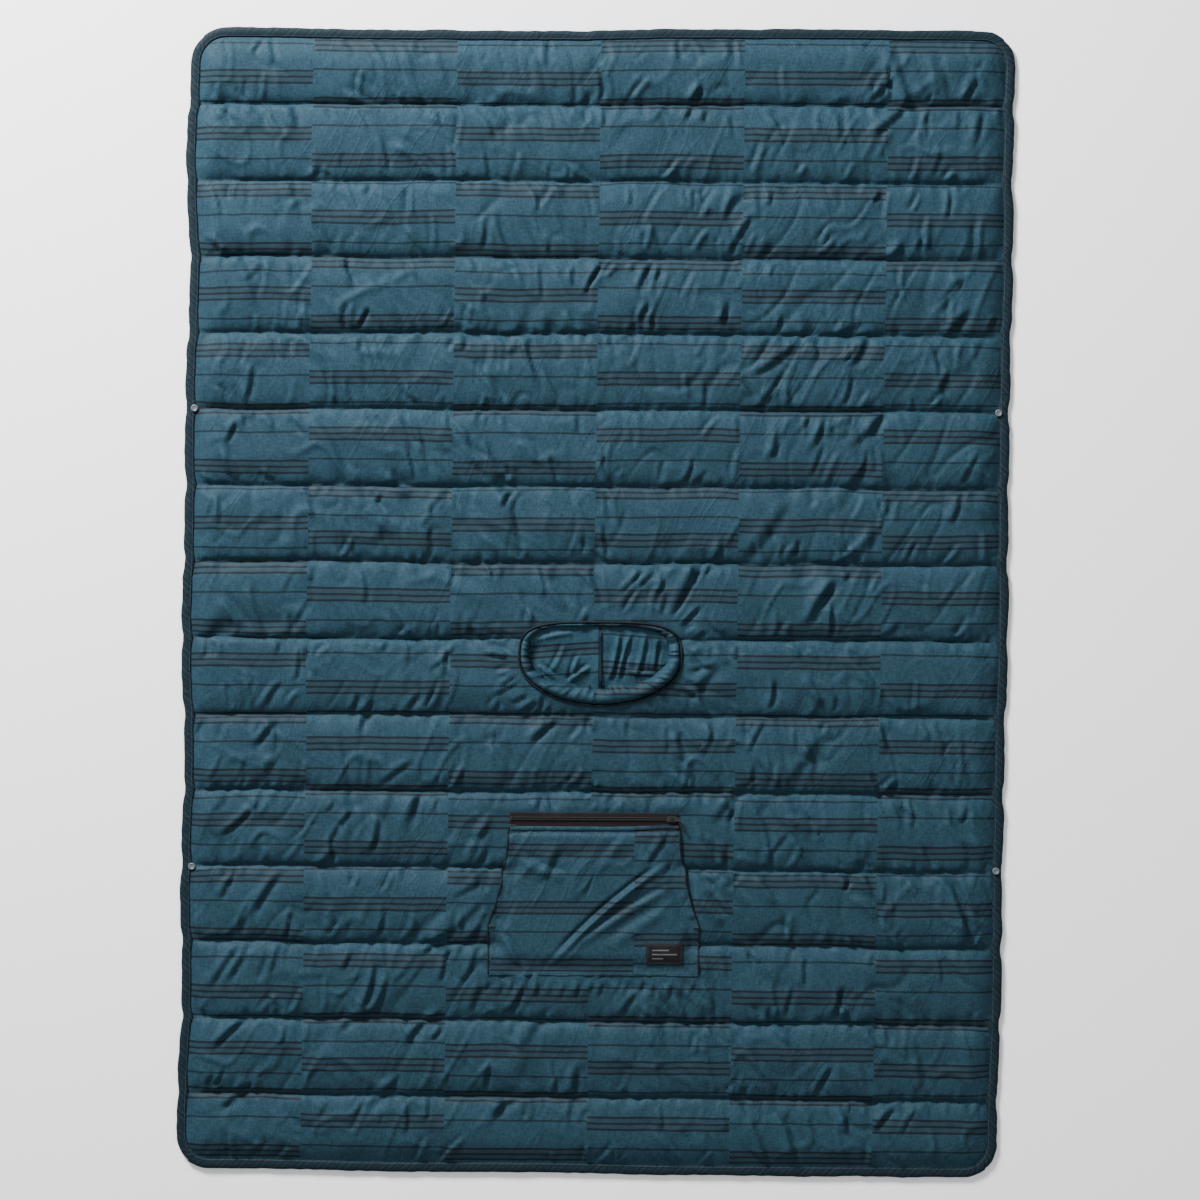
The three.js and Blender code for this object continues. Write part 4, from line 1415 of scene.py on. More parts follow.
        neck = self.neck_distance(points[..., 0], points[..., 1])
        near = np.abs(neck) < self.step * 0.55
        middle_y = lay.neck_y
        depth = np.where(points[..., 1] < middle_y, lay.neck_front, lay.neck_back)
        q = np.where(near, 1.0 + neck / depth, 1.0)
        points[..., 0] = np.where(near, lay.neck_x + (points[..., 0] - lay.neck_x) / q, points[..., 0])
        points[..., 1] = np.where(near, middle_y + (points[..., 1] - middle_y) / q, points[..., 1])
        keep = ~all_corners(neck < self.step * 0.5) & ~all_corners(rim < -0.004)
        thinned, under_skip = 3, 2
        kept_thin = self._kept(points[::thinned, ::thinned])
        kept_under = self._kept(points[::under_skip, ::under_skip])
        flat_points = points.copy()
        near_neck = 1 - smooth((self.neck_distance(gx, gy) - 0.02) / 0.10)
        points = points + (lay.drift(points.copy()) - points) * (1 - near_neck)[..., None]
        fold_row = int(np.argmin(np.abs(ys - lay.fold_y)))
        band = np.repeat(np.arange(rows - 1)[:, None], columns - 1, axis=1)
        self.shells = []
        for half, part in ((Half.BACK, band >= fold_row), (Half.FRONT, band < fold_row)):
            faces = grid_faces(rows, columns, keep & part)
            name = half.part
            shell = trimmed_mesh(f"shell_cloth_{name}", points, faces, uv)
            dress(shell, self.finishes.shell)
            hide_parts(f"shell_{name}")
            lay.blend(shell)
            self.shells.append(shell)
            LOG.info("shell %s: %d faces", name, len(faces))

        skip = thinned
        share = self.profile(gx, gy)[::skip, ::skip]
        full = (share > 0.5) & (np.abs(gy[::skip, ::skip] - lay.fold_y) > lay.fold_reach + self.step)
        least = spread(points[..., 2], np.minimum, 4)[::skip, ::skip]
        inside = points[::skip, ::skip].copy()
        beneath = inside.copy()
        most = spread(self._lining_height(flat_points[..., 0], flat_points[..., 1]), np.maximum, 4)
        beneath[..., 2] = most[::skip, ::skip] + 0.0003
        inside[..., 2] = np.maximum(least - 0.0012, beneath[..., 2] + 0.0004)
        keep_thin = kept_thin & all_corners(full)
        wadding = closed_pad("insulation", inside, beneath, uv[::skip, ::skip], keep_thin)
        dress(wadding, self.finishes.wadding)
        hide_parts("insulation_back", "insulation_front")
        lay.blend(wadding)

        skip = under_skip
        under = points[::skip, ::skip].copy()
        under[..., 2] = self._lining_height(flat_points[::skip, ::skip, 0], flat_points[::skip, ::skip, 1])
        past = self.neck_distance(under[..., 0], under[..., 1]) - 0.002
        near = self._beside_cut(kept_under)
        reach_y = np.where(under[..., 1] < lay.neck_y, lay.neck_front, lay.neck_back)
        pull = np.where(near, 1 + past / reach_y, 1.0)
        under[..., 0] = lay.neck_x + (under[..., 0] - lay.neck_x) / pull
        under[..., 1] = lay.neck_y + (under[..., 1] - lay.neck_y) / pull
        faces = grid_faces(*under.shape[:2], kept_under)[:, ::-1]
        lining = trimmed_mesh("lining", under, faces, uv[::skip, ::skip])
        dress(lining, self.finishes.lining)
        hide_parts("lining_back", "lining_front")
        lay.blend(lining)
        self.wadding = wadding
        return {"points": points, "xs": xs, "ys": ys}

    def strokes(self, xs: Array, ys: Array) -> Array:
        """Short sharp creases that run out from the seams, most of them leaning towards the neck.

        Args:
            xs: The grid's columns.
            ys: The grid's rows.

        Returns:
            Metres of lift on the grid.
        """
        lay = self.layout
        dice = np.random.default_rng(407)
        rise = np.zeros((len(ys), len(xs)))
        drawn: list[Crease] = []
        for number in range(0, lay.channels + 1):
            for side in (-1, 1):
                for x in np.sort(dice.uniform(-0.69, 0.69, 23)):
                    behind = lay.seam_y(number) > lay.fold_y + 0.05
                    lean = math.radians(dice.uniform(-12, 46)) * (1 if (x < 0.05) == behind else -1)
                    lean *= -1 if dice.random() < 0.22 else 1
                    long = dice.uniform(0.018, 0.072)
                    y = lay.seam_y(number) + side * dice.uniform(0.002, 0.016)
                    tip = (x - side * long * math.sin(lean), y + side * long * math.cos(lean))
                    tall = dice.uniform(0.0015, 0.0050) * (-1 if dice.random() < 0.4 else 1)
                    breadth, bow = dice.uniform(0.0040, 0.0062), dice.uniform(-0.006, 0.006)
                    drawn.append(Crease((x, y), tip, tall, breadth, bow))
        for _ in range(110):
            x, y = dice.uniform(-0.66, 0.66), dice.uniform(-0.95, 0.95)
            behind = y > lay.fold_y
            lean = math.radians(dice.uniform(12, 56)) * (1 if (x < 0.05) == behind else -1)
            long = dice.uniform(0.05, 0.12)
            tip = (x + long * math.sin(lean), y - long * math.cos(lean))
            tall, breadth = dice.uniform(0.0030, 0.0062), dice.uniform(0.006, 0.0095)
            drawn.append(Crease((x, y), tip, tall, breadth, dice.uniform(-0.01, 0.01)))
        drawn += self.around_openings(dice)
        margin = 0.03
        for crease in drawn:
            left, right = sorted((crease.start[0], crease.end[0]))
            low, high = sorted((crease.start[1], crease.end[1]))
            c0, c1 = np.searchsorted(xs, (left - margin, right + margin))
            r0, r1 = np.searchsorted(ys, (low - margin, high + margin))
            gx, gy = np.meshgrid(xs[c0:c1], ys[r0:r1])
            rise[r0:r1, c0:c1] += crease.rise(gx, gy)
        gx, gy = np.meshgrid(xs, ys)
        away = np.abs(lay.nearest_seam(gy, 1, lay.channels - 1)[1])
        return rise * (1 - 0.85 * np.exp(-((away / 0.007) ** 2))) * (1 - 0.9 * self.pressed(gx, gy))

    def around_openings(self, dice: np.random.Generator) -> list[Crease]:
        """Creases that run out from the neck's rim and from the pocket's sides and bottom.

        Args:
            dice: The random draws to go on from.

        Returns:
            The creases.
        """
        drawn: list[Crease] = []
        places = 48
        rim, out = self.neck_outline(0.010, places), self.neck_outline(0.060, places)
        for k in range(places):
            if dice.random() < 0.72:
                way = (out[k] - rim[k]) / 0.05
                turn = dice.uniform(-0.5, 0.5)
                way = np.array([way[0] - turn * way[1], way[1] + turn * way[0]])
                start = rim[k] + way * dice.uniform(0.0, 0.008)
                end = start + way * dice.uniform(0.022, 0.062)
                tall = dice.uniform(0.0018, 0.0046) * (-1 if dice.random() < 0.5 else 1)
                drawn.append(Crease(tuple(start), tuple(end), tall, dice.uniform(0.0042, 0.0060)))
        low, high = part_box("pocket_panel")
        for side in (-1, 1):
            for y in np.linspace(low.y - 0.004, high.y + 0.004, 9):
                x = side * (high.x + 0.010 - 0.03 * max(0.0, (y - low.y - 0.11) / (high.y - low.y)))
                tip = (x + side * dice.uniform(0.020, 0.075), y - dice.uniform(0.030, 0.085))
                drawn.append(Crease((x, y), tip, dice.uniform(0.0018, 0.0038), dice.uniform(0.0052, 0.0080)))
        for x in np.linspace(low.x, high.x, 17):
            start = (x + dice.uniform(-0.006, 0.006), low.y - 0.008)
            tip = (start[0] + dice.uniform(-0.016, 0.004), start[1] - dice.uniform(0.014, 0.034))
            drawn.append(Crease(start, tip, dice.uniform(0.0018, 0.0036), dice.uniform(0.0042, 0.0056)))
        return drawn

    def crumple(self, x: Array, y: Array) -> Array:
        """The cloth's small creases: ridges that lean towards the neck and puckers along each seam.

        Args:
            x: Places along X.
            y: Places along Y.

        Returns:
            Metres of lift at each place.
        """
        lay = self.layout
        share = self.profile(x, y)
        right = smooth((x + 0.16) / 0.32)
        behind = smooth((y - lay.fold_y + 0.12) / 0.24)
        lean_left = right * behind + (1 - right) * (1 - behind)
        z = 0.0036 * (1 - lean_left) * ridges(x, y, 27.0, 0.038, 2.6, 0.20, 201)
        z -= 0.0036 * (1 - lean_left) * ridges(x, y, 31.0, 0.042, 2.4, 0.18, 203)
        z += 0.0036 * lean_left * ridges(x, y, -27.0, 0.038, 2.6, 0.20, 205)
        z -= 0.0036 * lean_left * ridges(x, y, -33.0, 0.042, 2.4, 0.18, 207)
        z += 0.0020 * ridges(x, y, 62.0, 0.034, 2.0, 0.22, 209)
        z -= 0.0022 * ridges(x, y, 12.0, 0.022, 3.0, 0.26, 213)
        z += 0.0018 * waviness(x, y, 0.050, 0.040, 215)
        number, from_seam = lay.nearest_seam(y, 1, lay.channels - 1)
        away = np.abs(from_seam)
        slant = 0.45 * waviness(x, number * 3.0, 0.16, 1.0, 217)
        side = number * 7.3 + np.where(from_seam > 0, 3.1, 0.0)
        fine = waviness(x + slant * away, side, 0.0105, 1.0, 219) * smooth(away / 0.006)
        broad = waviness(x + slant * away, side, 0.024, 1.0, 221) * smooth(away / 0.009)
        pucker = 0.0052 * fine * np.exp(-((away / 0.018) ** 2))
        pucker = pucker + 0.0044 * broad * np.exp(-((away / 0.038) ** 2))
        strength = 0.55 + 0.45 * waviness(x, number * 5.0, 0.09, 1.0, 223)
        return (z * share + pucker * strength) * (1 - 0.9 * self.pressed(x, y))

    def pressed(self, x: Array, y: Array) -> Array:
        """1 under the pocket and its zip, where the shell is held down, and 0 away from them.

        Args:
            x: Places along X.
            y: Places along Y.

        Returns:
            The share at each place.
        """
        low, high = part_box("pocket_lining")
        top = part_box("zip_tape_upper")[1].y
        across = smooth((high.x + 0.006 - np.abs(x)) / 0.018)
        along = smooth((top + 0.010 - y) / 0.014) * smooth((y - low.y + 0.002) / 0.016)
        return across * along

    def _kept(self, points: Array) -> Array:
        """Which faces of a grid lie outside the neck hole."""
        neck = self.neck_distance(points[..., 0], points[..., 1]) < 0.002
        return all_corners(~neck)

    def _beside_cut(self, keep: Array) -> Array:
        """Which of a grid's places have both a kept face and a cut one beside them.

        Args:
            keep: Which of the grid's faces stay.

        Returns:
            A mask of the grid's places.
        """
        rows, columns = keep.shape
        beside = np.zeros((rows + 1, columns + 1, 2), bool)
        for down in (0, 1):
            for along in (0, 1):
                part = beside[down : down + rows, along : along + columns]
                part[..., 0] |= keep
                part[..., 1] |= ~keep
        return beside.all(axis=-1)

    def _lining_height(self, x: Array, y: Array) -> Array:
        """The lining's height: flat on the floor in each channel, drawn up at its seams and the rim.

        Args:
            x: Places along X.
            y: Places along Y.

        Returns:
            Metres over the floor.
        """
        share = np.clip(self.profile(x, y) * 1.6, 0, 1)
        away = np.abs(self.layout.nearest_seam(y, 1, self.layout.channels - 1)[1])
        pucker = 0.0011 * np.abs(waviness(x, y, 0.011, 0.03, 47)) * np.exp(-((away / 0.02) ** 2))
        return 0.0004 + 0.0030 * (1 - share) + pucker


@dataclass(frozen=True)
class Surface:
    """The settled shell as a height that other pieces can lie on."""

    points: Array
    xs: Array
    ys: Array

    def height(self, x: Array, y: Array, blur: int = 0) -> Array:
        """The shell's height at places on the flat blanket, evened out over a number of grid steps.

        Args:
            x: Places along X.
            y: Places along Y.
            blur: How many grid steps it is evened out over.

        Returns:
            Metres over the floor.
        """
        z = self.points[..., 2]
        for _ in range(blur):
            even = z.copy()
            even[1:-1, 1:-1] = (z[:-2, 1:-1] + z[2:, 1:-1] + z[1:-1, :-2] + z[1:-1, 2:] + z[1:-1, 1:-1]) / 5
            z = even
        u = np.clip((np.asarray(x) - self.xs[0]) / (self.xs[1] - self.xs[0]), 0, len(self.xs) - 1.001)
        v = np.clip((np.asarray(y) - self.ys[0]) / (self.ys[1] - self.ys[0]), 0, len(self.ys) - 1.001)
        iu, iv = u.astype(int), v.astype(int)
        fu, fv = u - iu, v - iv
        low = z[iv, iu] * (1 - fu) + z[iv, iu + 1] * fu
        up = z[iv + 1, iu] * (1 - fu) + z[iv + 1, iu + 1] * fu
        return low * (1 - fv) + up * fv

    def seam_path(self, layout: Layout, number: int, start: float, end: float) -> Array:
        """Points along a seam between two places across the blanket, just over the cloth.

        Args:
            layout: The blanket's sizes.
            number: The seam, counted from the back hem.
            start: The lowest X.
            end: The highest X.

        Returns:
            The path's points.
        """
        row = int(np.argmin(np.abs(self.ys - layout.seam_y(number))))
        line = self.points[row]
        kept = line[(line[:, 0] >= start) & (line[:, 0] <= end)].astype(float)
        kept[:, 2] += 0.0003
        return kept


# ---------------------------------------------------------------- the rim


@dataclass
class Binding:
    """The strip of print that is folded over the layers' edges, with its row of stitches."""

    layout: Layout
    finishes: Finishes
    pitch: float = 0.004

    def outline(self, inset: float) -> tuple[Array, Array]:
        """Points round the rim at an inset, and the direction inwards at each.

        Args:
            inset: How far inside the edge.

        Returns:
            The points and the directions.
        """
        lay = self.layout
        x, y, r = lay.width / 2 - lay.corner, lay.length / 2 - lay.corner, lay.corner
        points: list[tuple[float, float]] = []
        inward: list[tuple[float, float]] = []
        corners = ((x, y, 0.0), (-x, y, 90.0), (-x, -y, 180.0), (x, -y, 270.0))
        for i, (cx, cy, first) in enumerate(corners):
            steps = max(2, int(r * math.pi / 2 / self.pitch))
            for k in range(steps + 1):
                a = math.radians(first + 90.0 * k / steps)
                d = (math.cos(a), math.sin(a))
                points.append((cx + d[0] * (r - inset), cy + d[1] * (r - inset)))
                inward.append((-d[0], -d[1]))
            nx, ny, _ = corners[(i + 1) % 4]
            a = math.radians(first + 90.0)
            d = (math.cos(a), math.sin(a))
            begin = np.array([cx + d[0] * (r - inset), cy + d[1] * (r - inset)])
            finish = np.array([nx + d[0] * (r - inset), ny + d[1] * (r - inset)])
            steps = int(np.linalg.norm(finish - begin) / self.pitch)
            for k in range(1, steps):
                p = begin + (finish - begin) * k / steps
                points.append((float(p[0]), float(p[1])))
                inward.append((-d[0], -d[1]))
        return np.array(points), np.array(inward)

    def build(self) -> None:
        """Makes the strip and sews it down."""
        lay = self.layout
        edge, inward = self.outline(0.0)
        count = len(edge)
        run = np.arange(count) * self.pitch
        zero = np.zeros(count)
        pull = 0.0011 * waviness(run, zero, 0.05, 1.0, 71) + 0.0007 * waviness(run, zero, 0.013, 1.0, 72)
        from_seam = np.abs(((lay.length / 2 - edge[:, 1]) / lay.channel + 0.5) % 1.0 - 0.5) * lay.channel
        on_side = np.abs(edge[:, 0]) > lay.width / 2 - 0.02
        pull += np.where(on_side, 0.0038 * np.exp(-((from_seam / 0.018) ** 2)), 0.0) + 0.0008
        path = lay.drift(np.column_stack([edge + inward * pull[:, None], zero]))
        sides = np.column_stack([inward, zero])
        w = lay.binding
        heights = ((1.0, 0.0066), (0.82, 0.0071), (0.6, 0.0078), (0.35, 0.0078), (0.12, 0.0068))
        top = np.array([[w * share, z] for share, z in heights])
        side = np.array([[0.0, 0.0052], [0.0, 0.0026], [w * 0.06, 0.0012]])
        low = np.array([[w * 0.3, 0.0005], [w * 0.7, 0.0006], [w, 0.0016], [w, 0.0030]])
        shape = np.repeat(np.concatenate([top, side, low])[None], count, axis=0)
        bias = 0.0007 * np.sin(run[:, None] * 2 * math.pi / 0.0085 + shape[..., 0] * 420)
        bias = bias * (0.5 + 0.5 * waviness(run, zero, 0.03, 1.0, 73))[:, None]
        upper = (np.arange(shape.shape[1]) < 5) & (np.arange(shape.shape[1]) > 0)
        bias = bias + 0.0006 * waviness(run, zero, 0.022, 1.0, 74)[:, None]
        shape[..., 1] += np.where(upper[None], bias, 0.0)
        across = np.concatenate([top[:, 0], [0.0, -0.003, -0.004], -low[:, 0]])
        piece = swept("binding", path, sides, upright(count), shape, True, across)
        dress(piece, self.finishes.binding)
        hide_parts("binding_back", "binding_front")
        lay.blend(piece)

        inner, _ = self.outline(w - 0.0016)
        run = np.arange(len(inner)) * self.pitch
        height = 0.0075 + 0.0003 * waviness(run, np.zeros(len(inner)), 0.02, 1.0, 75)
        line = lay.drift(np.column_stack([inner, height]))
        line = np.concatenate([line, line[:1]])
        stitches = stitching().make("binding_stitches", [line], self.finishes.edge_thread, "thread")
        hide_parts("binding_stitching_back", "binding_stitching_front")
        lay.blend(stitches)
        LOG.info("binding: %d steps", count)


@dataclass
class QuiltStitches:
    """The rows of stitches along the quilt's seams."""

    layout: Layout
    finishes: Finishes
    surface: Surface

    def build(self) -> None:
        """Sews one piece for each half and one across the fold."""
        lay = self.layout
        end = lay.width / 2 - lay.binding - 0.001
        back = [self.surface.seam_path(lay, n, -end, end) for n in range(1, lay.fold_seam)]
        front = [self.surface.seam_path(lay, n, -end, end) for n in range(lay.fold_seam + 1, lay.channels)]
        side = lay.neck_half_width + 0.006
        fold = [
            self.surface.seam_path(lay, lay.fold_seam, -end, -side),
            self.surface.seam_path(lay, lay.fold_seam, side, end),
        ]
        sewing = stitching()
        for half, paths, first in ((Half.BACK, back, 1), (Half.FRONT, front, lay.fold_seam + 1)):
            piece = sewing.make(f"quilt_stitches_{half.part}", paths, self.finishes.thread, "thread")
            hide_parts(*[f"quilt_seam_{first + i:02d}" for i in range(len(paths))])
            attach(piece, half.value)
        piece = sewing.make("quilt_stitches_fold", fold, self.finishes.thread, "thread")
        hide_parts(f"quilt_seam_{lay.fold_seam:02d}_left", f"quilt_seam_{lay.fold_seam:02d}_right")
        lay.blend(piece)
        LOG.info("quilt stitches: %d rows", lay.channels - 1)


# ---------------------------------------------------------------- the neck


@dataclass
class Neck:
    """The neck hole's piping, its padded collar and the hood that is pushed down inside it."""

    layout: Layout
    finishes: Finishes
    quilt: Quilt
    surface: Surface
    back: float = 0.007
    front: float = 0.029

    def rim_height(self, x: Array, y: Array) -> Array:
        """The shell's height round the hole."""
        return self.surface.height(x, y, 2)

    def build(self) -> None:
        """Makes every piece of the neck."""
        self.piping()
        self.collar()
        for sign, name in ((-1, "left"), (1, "right")):
            self.panel(sign, name)
        self.centre_seam()

    def piping(self) -> None:
        """The dark rolled edge round the hole."""
        count = 260
        edge = self.quilt.neck_outline(0.0016, count)
        outer = self.quilt.neck_outline(0.006, count)
        z = self.rim_height(outer[:, 0], outer[:, 1]) + 0.0016
        path = np.stack([edge[:, 0], edge[:, 1], z], -1)
        ahead = np.roll(path, -1, 0) - np.roll(path, 1, 0)
        ahead /= np.linalg.norm(ahead, axis=1)[:, None]
        ups = upright(count)
        sides = np.cross(ahead, ups)
        angle = np.linspace(0, 2 * math.pi, 12, endpoint=False)
        run = np.arange(count)
        swell = 1 + 0.12 * waviness(run, np.zeros(count), 5.0, 1.0, 81)
        ring = np.stack([0.0021 * np.cos(angle), 0.0024 * np.sin(angle)], -1)
        piece = swept("neck_piping", path, sides, ups, ring[None] * swell[:, None, None], True)
        dress(piece, self.finishes.piping)
        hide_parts("neck_binding")
        self.layout.blend(piece)
        LOG.info("neck piping")

    def widths(self, angle: Array) -> Array:
        """The collar's width by angle from the back middle.

        Args:
            angle: Angles from the back middle.

        Returns:
            Metres at each angle.
        """
        front = smooth((-np.cos(angle) + 0.15) / 1.1)
        right = smooth((np.sin(angle) - 0.2) / 0.8)
        side = smooth((np.abs(np.sin(angle)) - 0.5) / 0.5) * (1 - front)
        gather = 0.0046 * waviness(angle, angle * 0, 0.11, 1.0, 97) * (0.2 + front)
        return self.back + (self.front - self.back) * front + 0.006 * right + 0.007 * side + gather

    def inner_edge(self, count: int) -> Array:
        """The collar's inner edge.

        Args:
            count: How many points to make.

        Returns:
            The edge's points.
        """
        angle = np.linspace(0, 2 * math.pi, count, endpoint=False)
        outer = self.quilt.neck_outline(-0.002, count)
        middle = np.array([self.layout.neck_x, self.layout.neck_y])
        inward = middle - outer
        inward /= np.linalg.norm(inward, axis=1)[:, None]
        return outer + inward * self.widths(angle)[:, None]

    def collar(self) -> None:
        """The padded roll inside the piping."""
        count, across = 300, 16
        angle = np.linspace(0, 2 * math.pi, count, endpoint=False)
        outer, inner = self.quilt.neck_outline(-0.0008, count), self.inner_edge(count)
        rim = self.rim_height(*self.quilt.neck_outline(0.006, count).T)
        t = np.linspace(0, 1, across)
        wide = self.widths(angle)
        flat = outer[:, None] * (1 - t[None, :, None]) + inner[:, None] * t[None, :, None]
        swell = np.sqrt(np.clip(1 - (2 * t - 1) ** 2, 0, 1))
        tall = 0.0042 + 0.0082 * smooth((wide - 0.008) / 0.018)
        run = np.arange(count) * 0.0027
        zero = np.zeros(count)
        folds = waviness(run, zero, 0.0078, 1.0, 91) + 0.6 * waviness(run, zero, 0.02, 1.0, 92)
        top = rim[:, None] * (1 - 0.42 * t[None] ** 2) + tall[:, None] * swell[None]
        top += 0.0034 * folds[:, None] * (swell[None] * (0.35 + 0.65 * t[None]))
        bottom = np.full_like(top, 0.0035) + 0.0015 * (1 - swell[None])
        bottom = np.minimum(bottom, top - 0.001)
        over = np.concatenate([flat, top[..., None]], -1)
        under = np.concatenate([flat, bottom[..., None]], -1)[:, ::-1][:, 1:-1]
        ring = np.concatenate([over, under], axis=1)
        around = ring.shape[1]
        at = np.arange(count * around).reshape(count, around)
        faces = band_faces(at, np.roll(at, -1, 0))
        piece = make_mesh("collar", ring, faces, ring[..., :2])
        outward(piece)
        dress(piece, self.finishes.collar)
        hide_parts("collar_roll")
        self.layout.blend(piece)
        LOG.info("collar")

    def panel(self, sign: int, name: str) -> None:
        """One of the hood's two panels, sunk inside the collar.

        Args:
            sign: -1 for the left and 1 for the right.
            name: The same side, as names have it.
        """
        lay = self.layout
        columns, rows = 70, 60
        inner = self.inner_edge(720) - [lay.neck_x, 0.0]
        reach = float(np.abs(inner[:, 0]).max()) + 0.002
        xs = np.linspace(0.0022, reach * 0.995, columns)
        side = inner[inner[:, 0] * sign > 0]
        front_side, back_side = side[side[:, 1] < lay.neck_y], side[side[:, 1] >= lay.neck_y]

        def limit(part: Array, x: Array) -> Array:
            """The edge's Y at each X."""
            order = np.argsort(np.abs(part[:, 0]))
            return np.interp(x, np.abs(part[order, 0]), part[order, 1])

        low, high = limit(front_side, xs) - 0.003, limit(back_side, xs) + 0.003
        v = np.linspace(0, 1, rows)
        y = low[None] + (high - low)[None] * v[:, None]
        x = np.repeat(xs[None] * sign, rows, axis=0)
        u = np.repeat((xs / reach)[None], rows, axis=0)
        inside = np.minimum(np.minimum(v[:, None], 1 - v[:, None]) * 2.6, np.minimum((1 - u) * 3.0, 1.0))
        behind = smooth((v[:, None] - 0.55) / 0.4)
        z = 0.0062 + 0.0052 * smooth(inside) + 0.0014 * smooth(1 - u * 6) + 0.0082 * behind
        fine = waviness(x, y, 0.009, 0.02, 103 + sign)
        z += 0.0016 * waviness(x + y * 0.5, y, 0.022, 0.06, 101 + sign) + 0.0007 * fine
        for crease in self.folds(sign):
            z += crease.rise(x, y) * smooth(inside * 2)
        top = np.stack([x + lay.neck_x, y, np.minimum(z, 0.0190)], -1)
        bottom = np.stack([x + lay.neck_x, y, np.full_like(x, 0.0040)], -1)
        uv = np.stack([x + lay.neck_x, y - (0.022 if sign > 0 else 0.0) + x * 0.07 * sign], -1)
        if sign < 0:
            top, bottom, uv = top[:, ::-1], bottom[:, ::-1], uv[:, ::-1]
        piece = closed_pad(f"hood_{name}", top, bottom, uv)
        # The hood wears the lightened copy of the print, which is painted light.
        dress(piece, self.finishes.hood)
        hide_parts(f"hood_panel_{name}")
        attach(piece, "hood")
        LOG.info("hood panel %s", name)

    def folds(self, sign: int) -> list[Crease]:
        """The long creases of one hood panel.

        Args:
            sign: -1 for the left and 1 for the right.

        Returns:
            The creases.
        """
        c = self.layout.neck_y
        if sign < 0:
            return [
                Crease((-0.115, c + 0.030), (-0.030, c + 0.046), 0.0034, 0.0048, 0.004),
                Crease((-0.092, c - 0.030), (-0.060, c + 0.030), 0.0026, 0.0050, -0.004),
                Crease((-0.050, c - 0.045), (-0.034, c + 0.012), 0.0034, 0.0046, 0.003),
                Crease((-0.060, c - 0.048), (-0.012, c - 0.012), 0.0042, 0.0048, 0.003),
                Crease((-0.110, c - 0.010), (-0.075, c - 0.040), 0.0034, 0.0050),
            ]
        return [
            Crease((0.034, c + 0.052), (0.012, c - 0.048), 0.0046, 0.0046, 0.003),
            Crease((0.055, c + 0.050), (0.030, c - 0.046), 0.0042, 0.0046, -0.003),
            Crease((0.078, c + 0.046), (0.060, c - 0.036), 0.0040, 0.0048, 0.003),
            Crease((0.100, c + 0.040), (0.092, c - 0.024), 0.0034, 0.0044),
            Crease((0.040, c - 0.020), (0.105, c - 0.030), 0.0030, 0.0050),
        ]

    def centre_seam(self) -> None:
        """The strip over the hood's middle seam, with a row of stitches on each side."""
        lay = self.layout
        inner = self.inner_edge(720) - [lay.neck_x, 0.0]
        middle = inner[np.abs(inner[:, 0]) < 0.006]
        count = 60
        y = np.linspace(middle[:, 1].min() - 0.002, middle[:, 1].max() + 0.002, count)
        share = np.clip(np.minimum(y - y[0], y[-1] - y) / 0.018, 0, 1)
        z = 0.0080 + 0.0062 * smooth(share) + 0.0006 * waviness(y, y, 0.018, 1.0, 111)
        z += 0.0062 * smooth(((y - y[0]) / (y[-1] - y[0]) - 0.55) / 0.4)
        bend = lay.neck_x + 0.0018 * waviness(y, y * 0, 0.05, 1.0, 112)
        path = np.stack([bend, y, z], -1)
        sides = np.tile([1.0, 0.0, 0.0], (count, 1))
        profile = np.array([[0.0022, 0.0], [0.0019, 0.0008], [0.0011, 0.0011], [0.0003, 0.0007]])
        profile = np.concatenate([profile, profile[::-1] * [-1, 1], [[-0.0022, -0.006], [0.0022, -0.006]]])
        piece = swept("hood_seam_strip", path, sides, upright(count), profile, False)
        dress(piece, self.finishes.binding)
        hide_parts("hood_centre_seam")
        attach(piece, "hood")
        rows = [path + [offset, 0, 0.0013] for offset in (-0.0014, 0.0014)]
        stitches = stitching(0.003, 0.002, 0.0006).make("hood_stitches", rows, self.finishes.thread, "thread")
        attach(stitches, "hood")
        LOG.info("hood seam")


# ---------------------------------------------------------------- the pocket


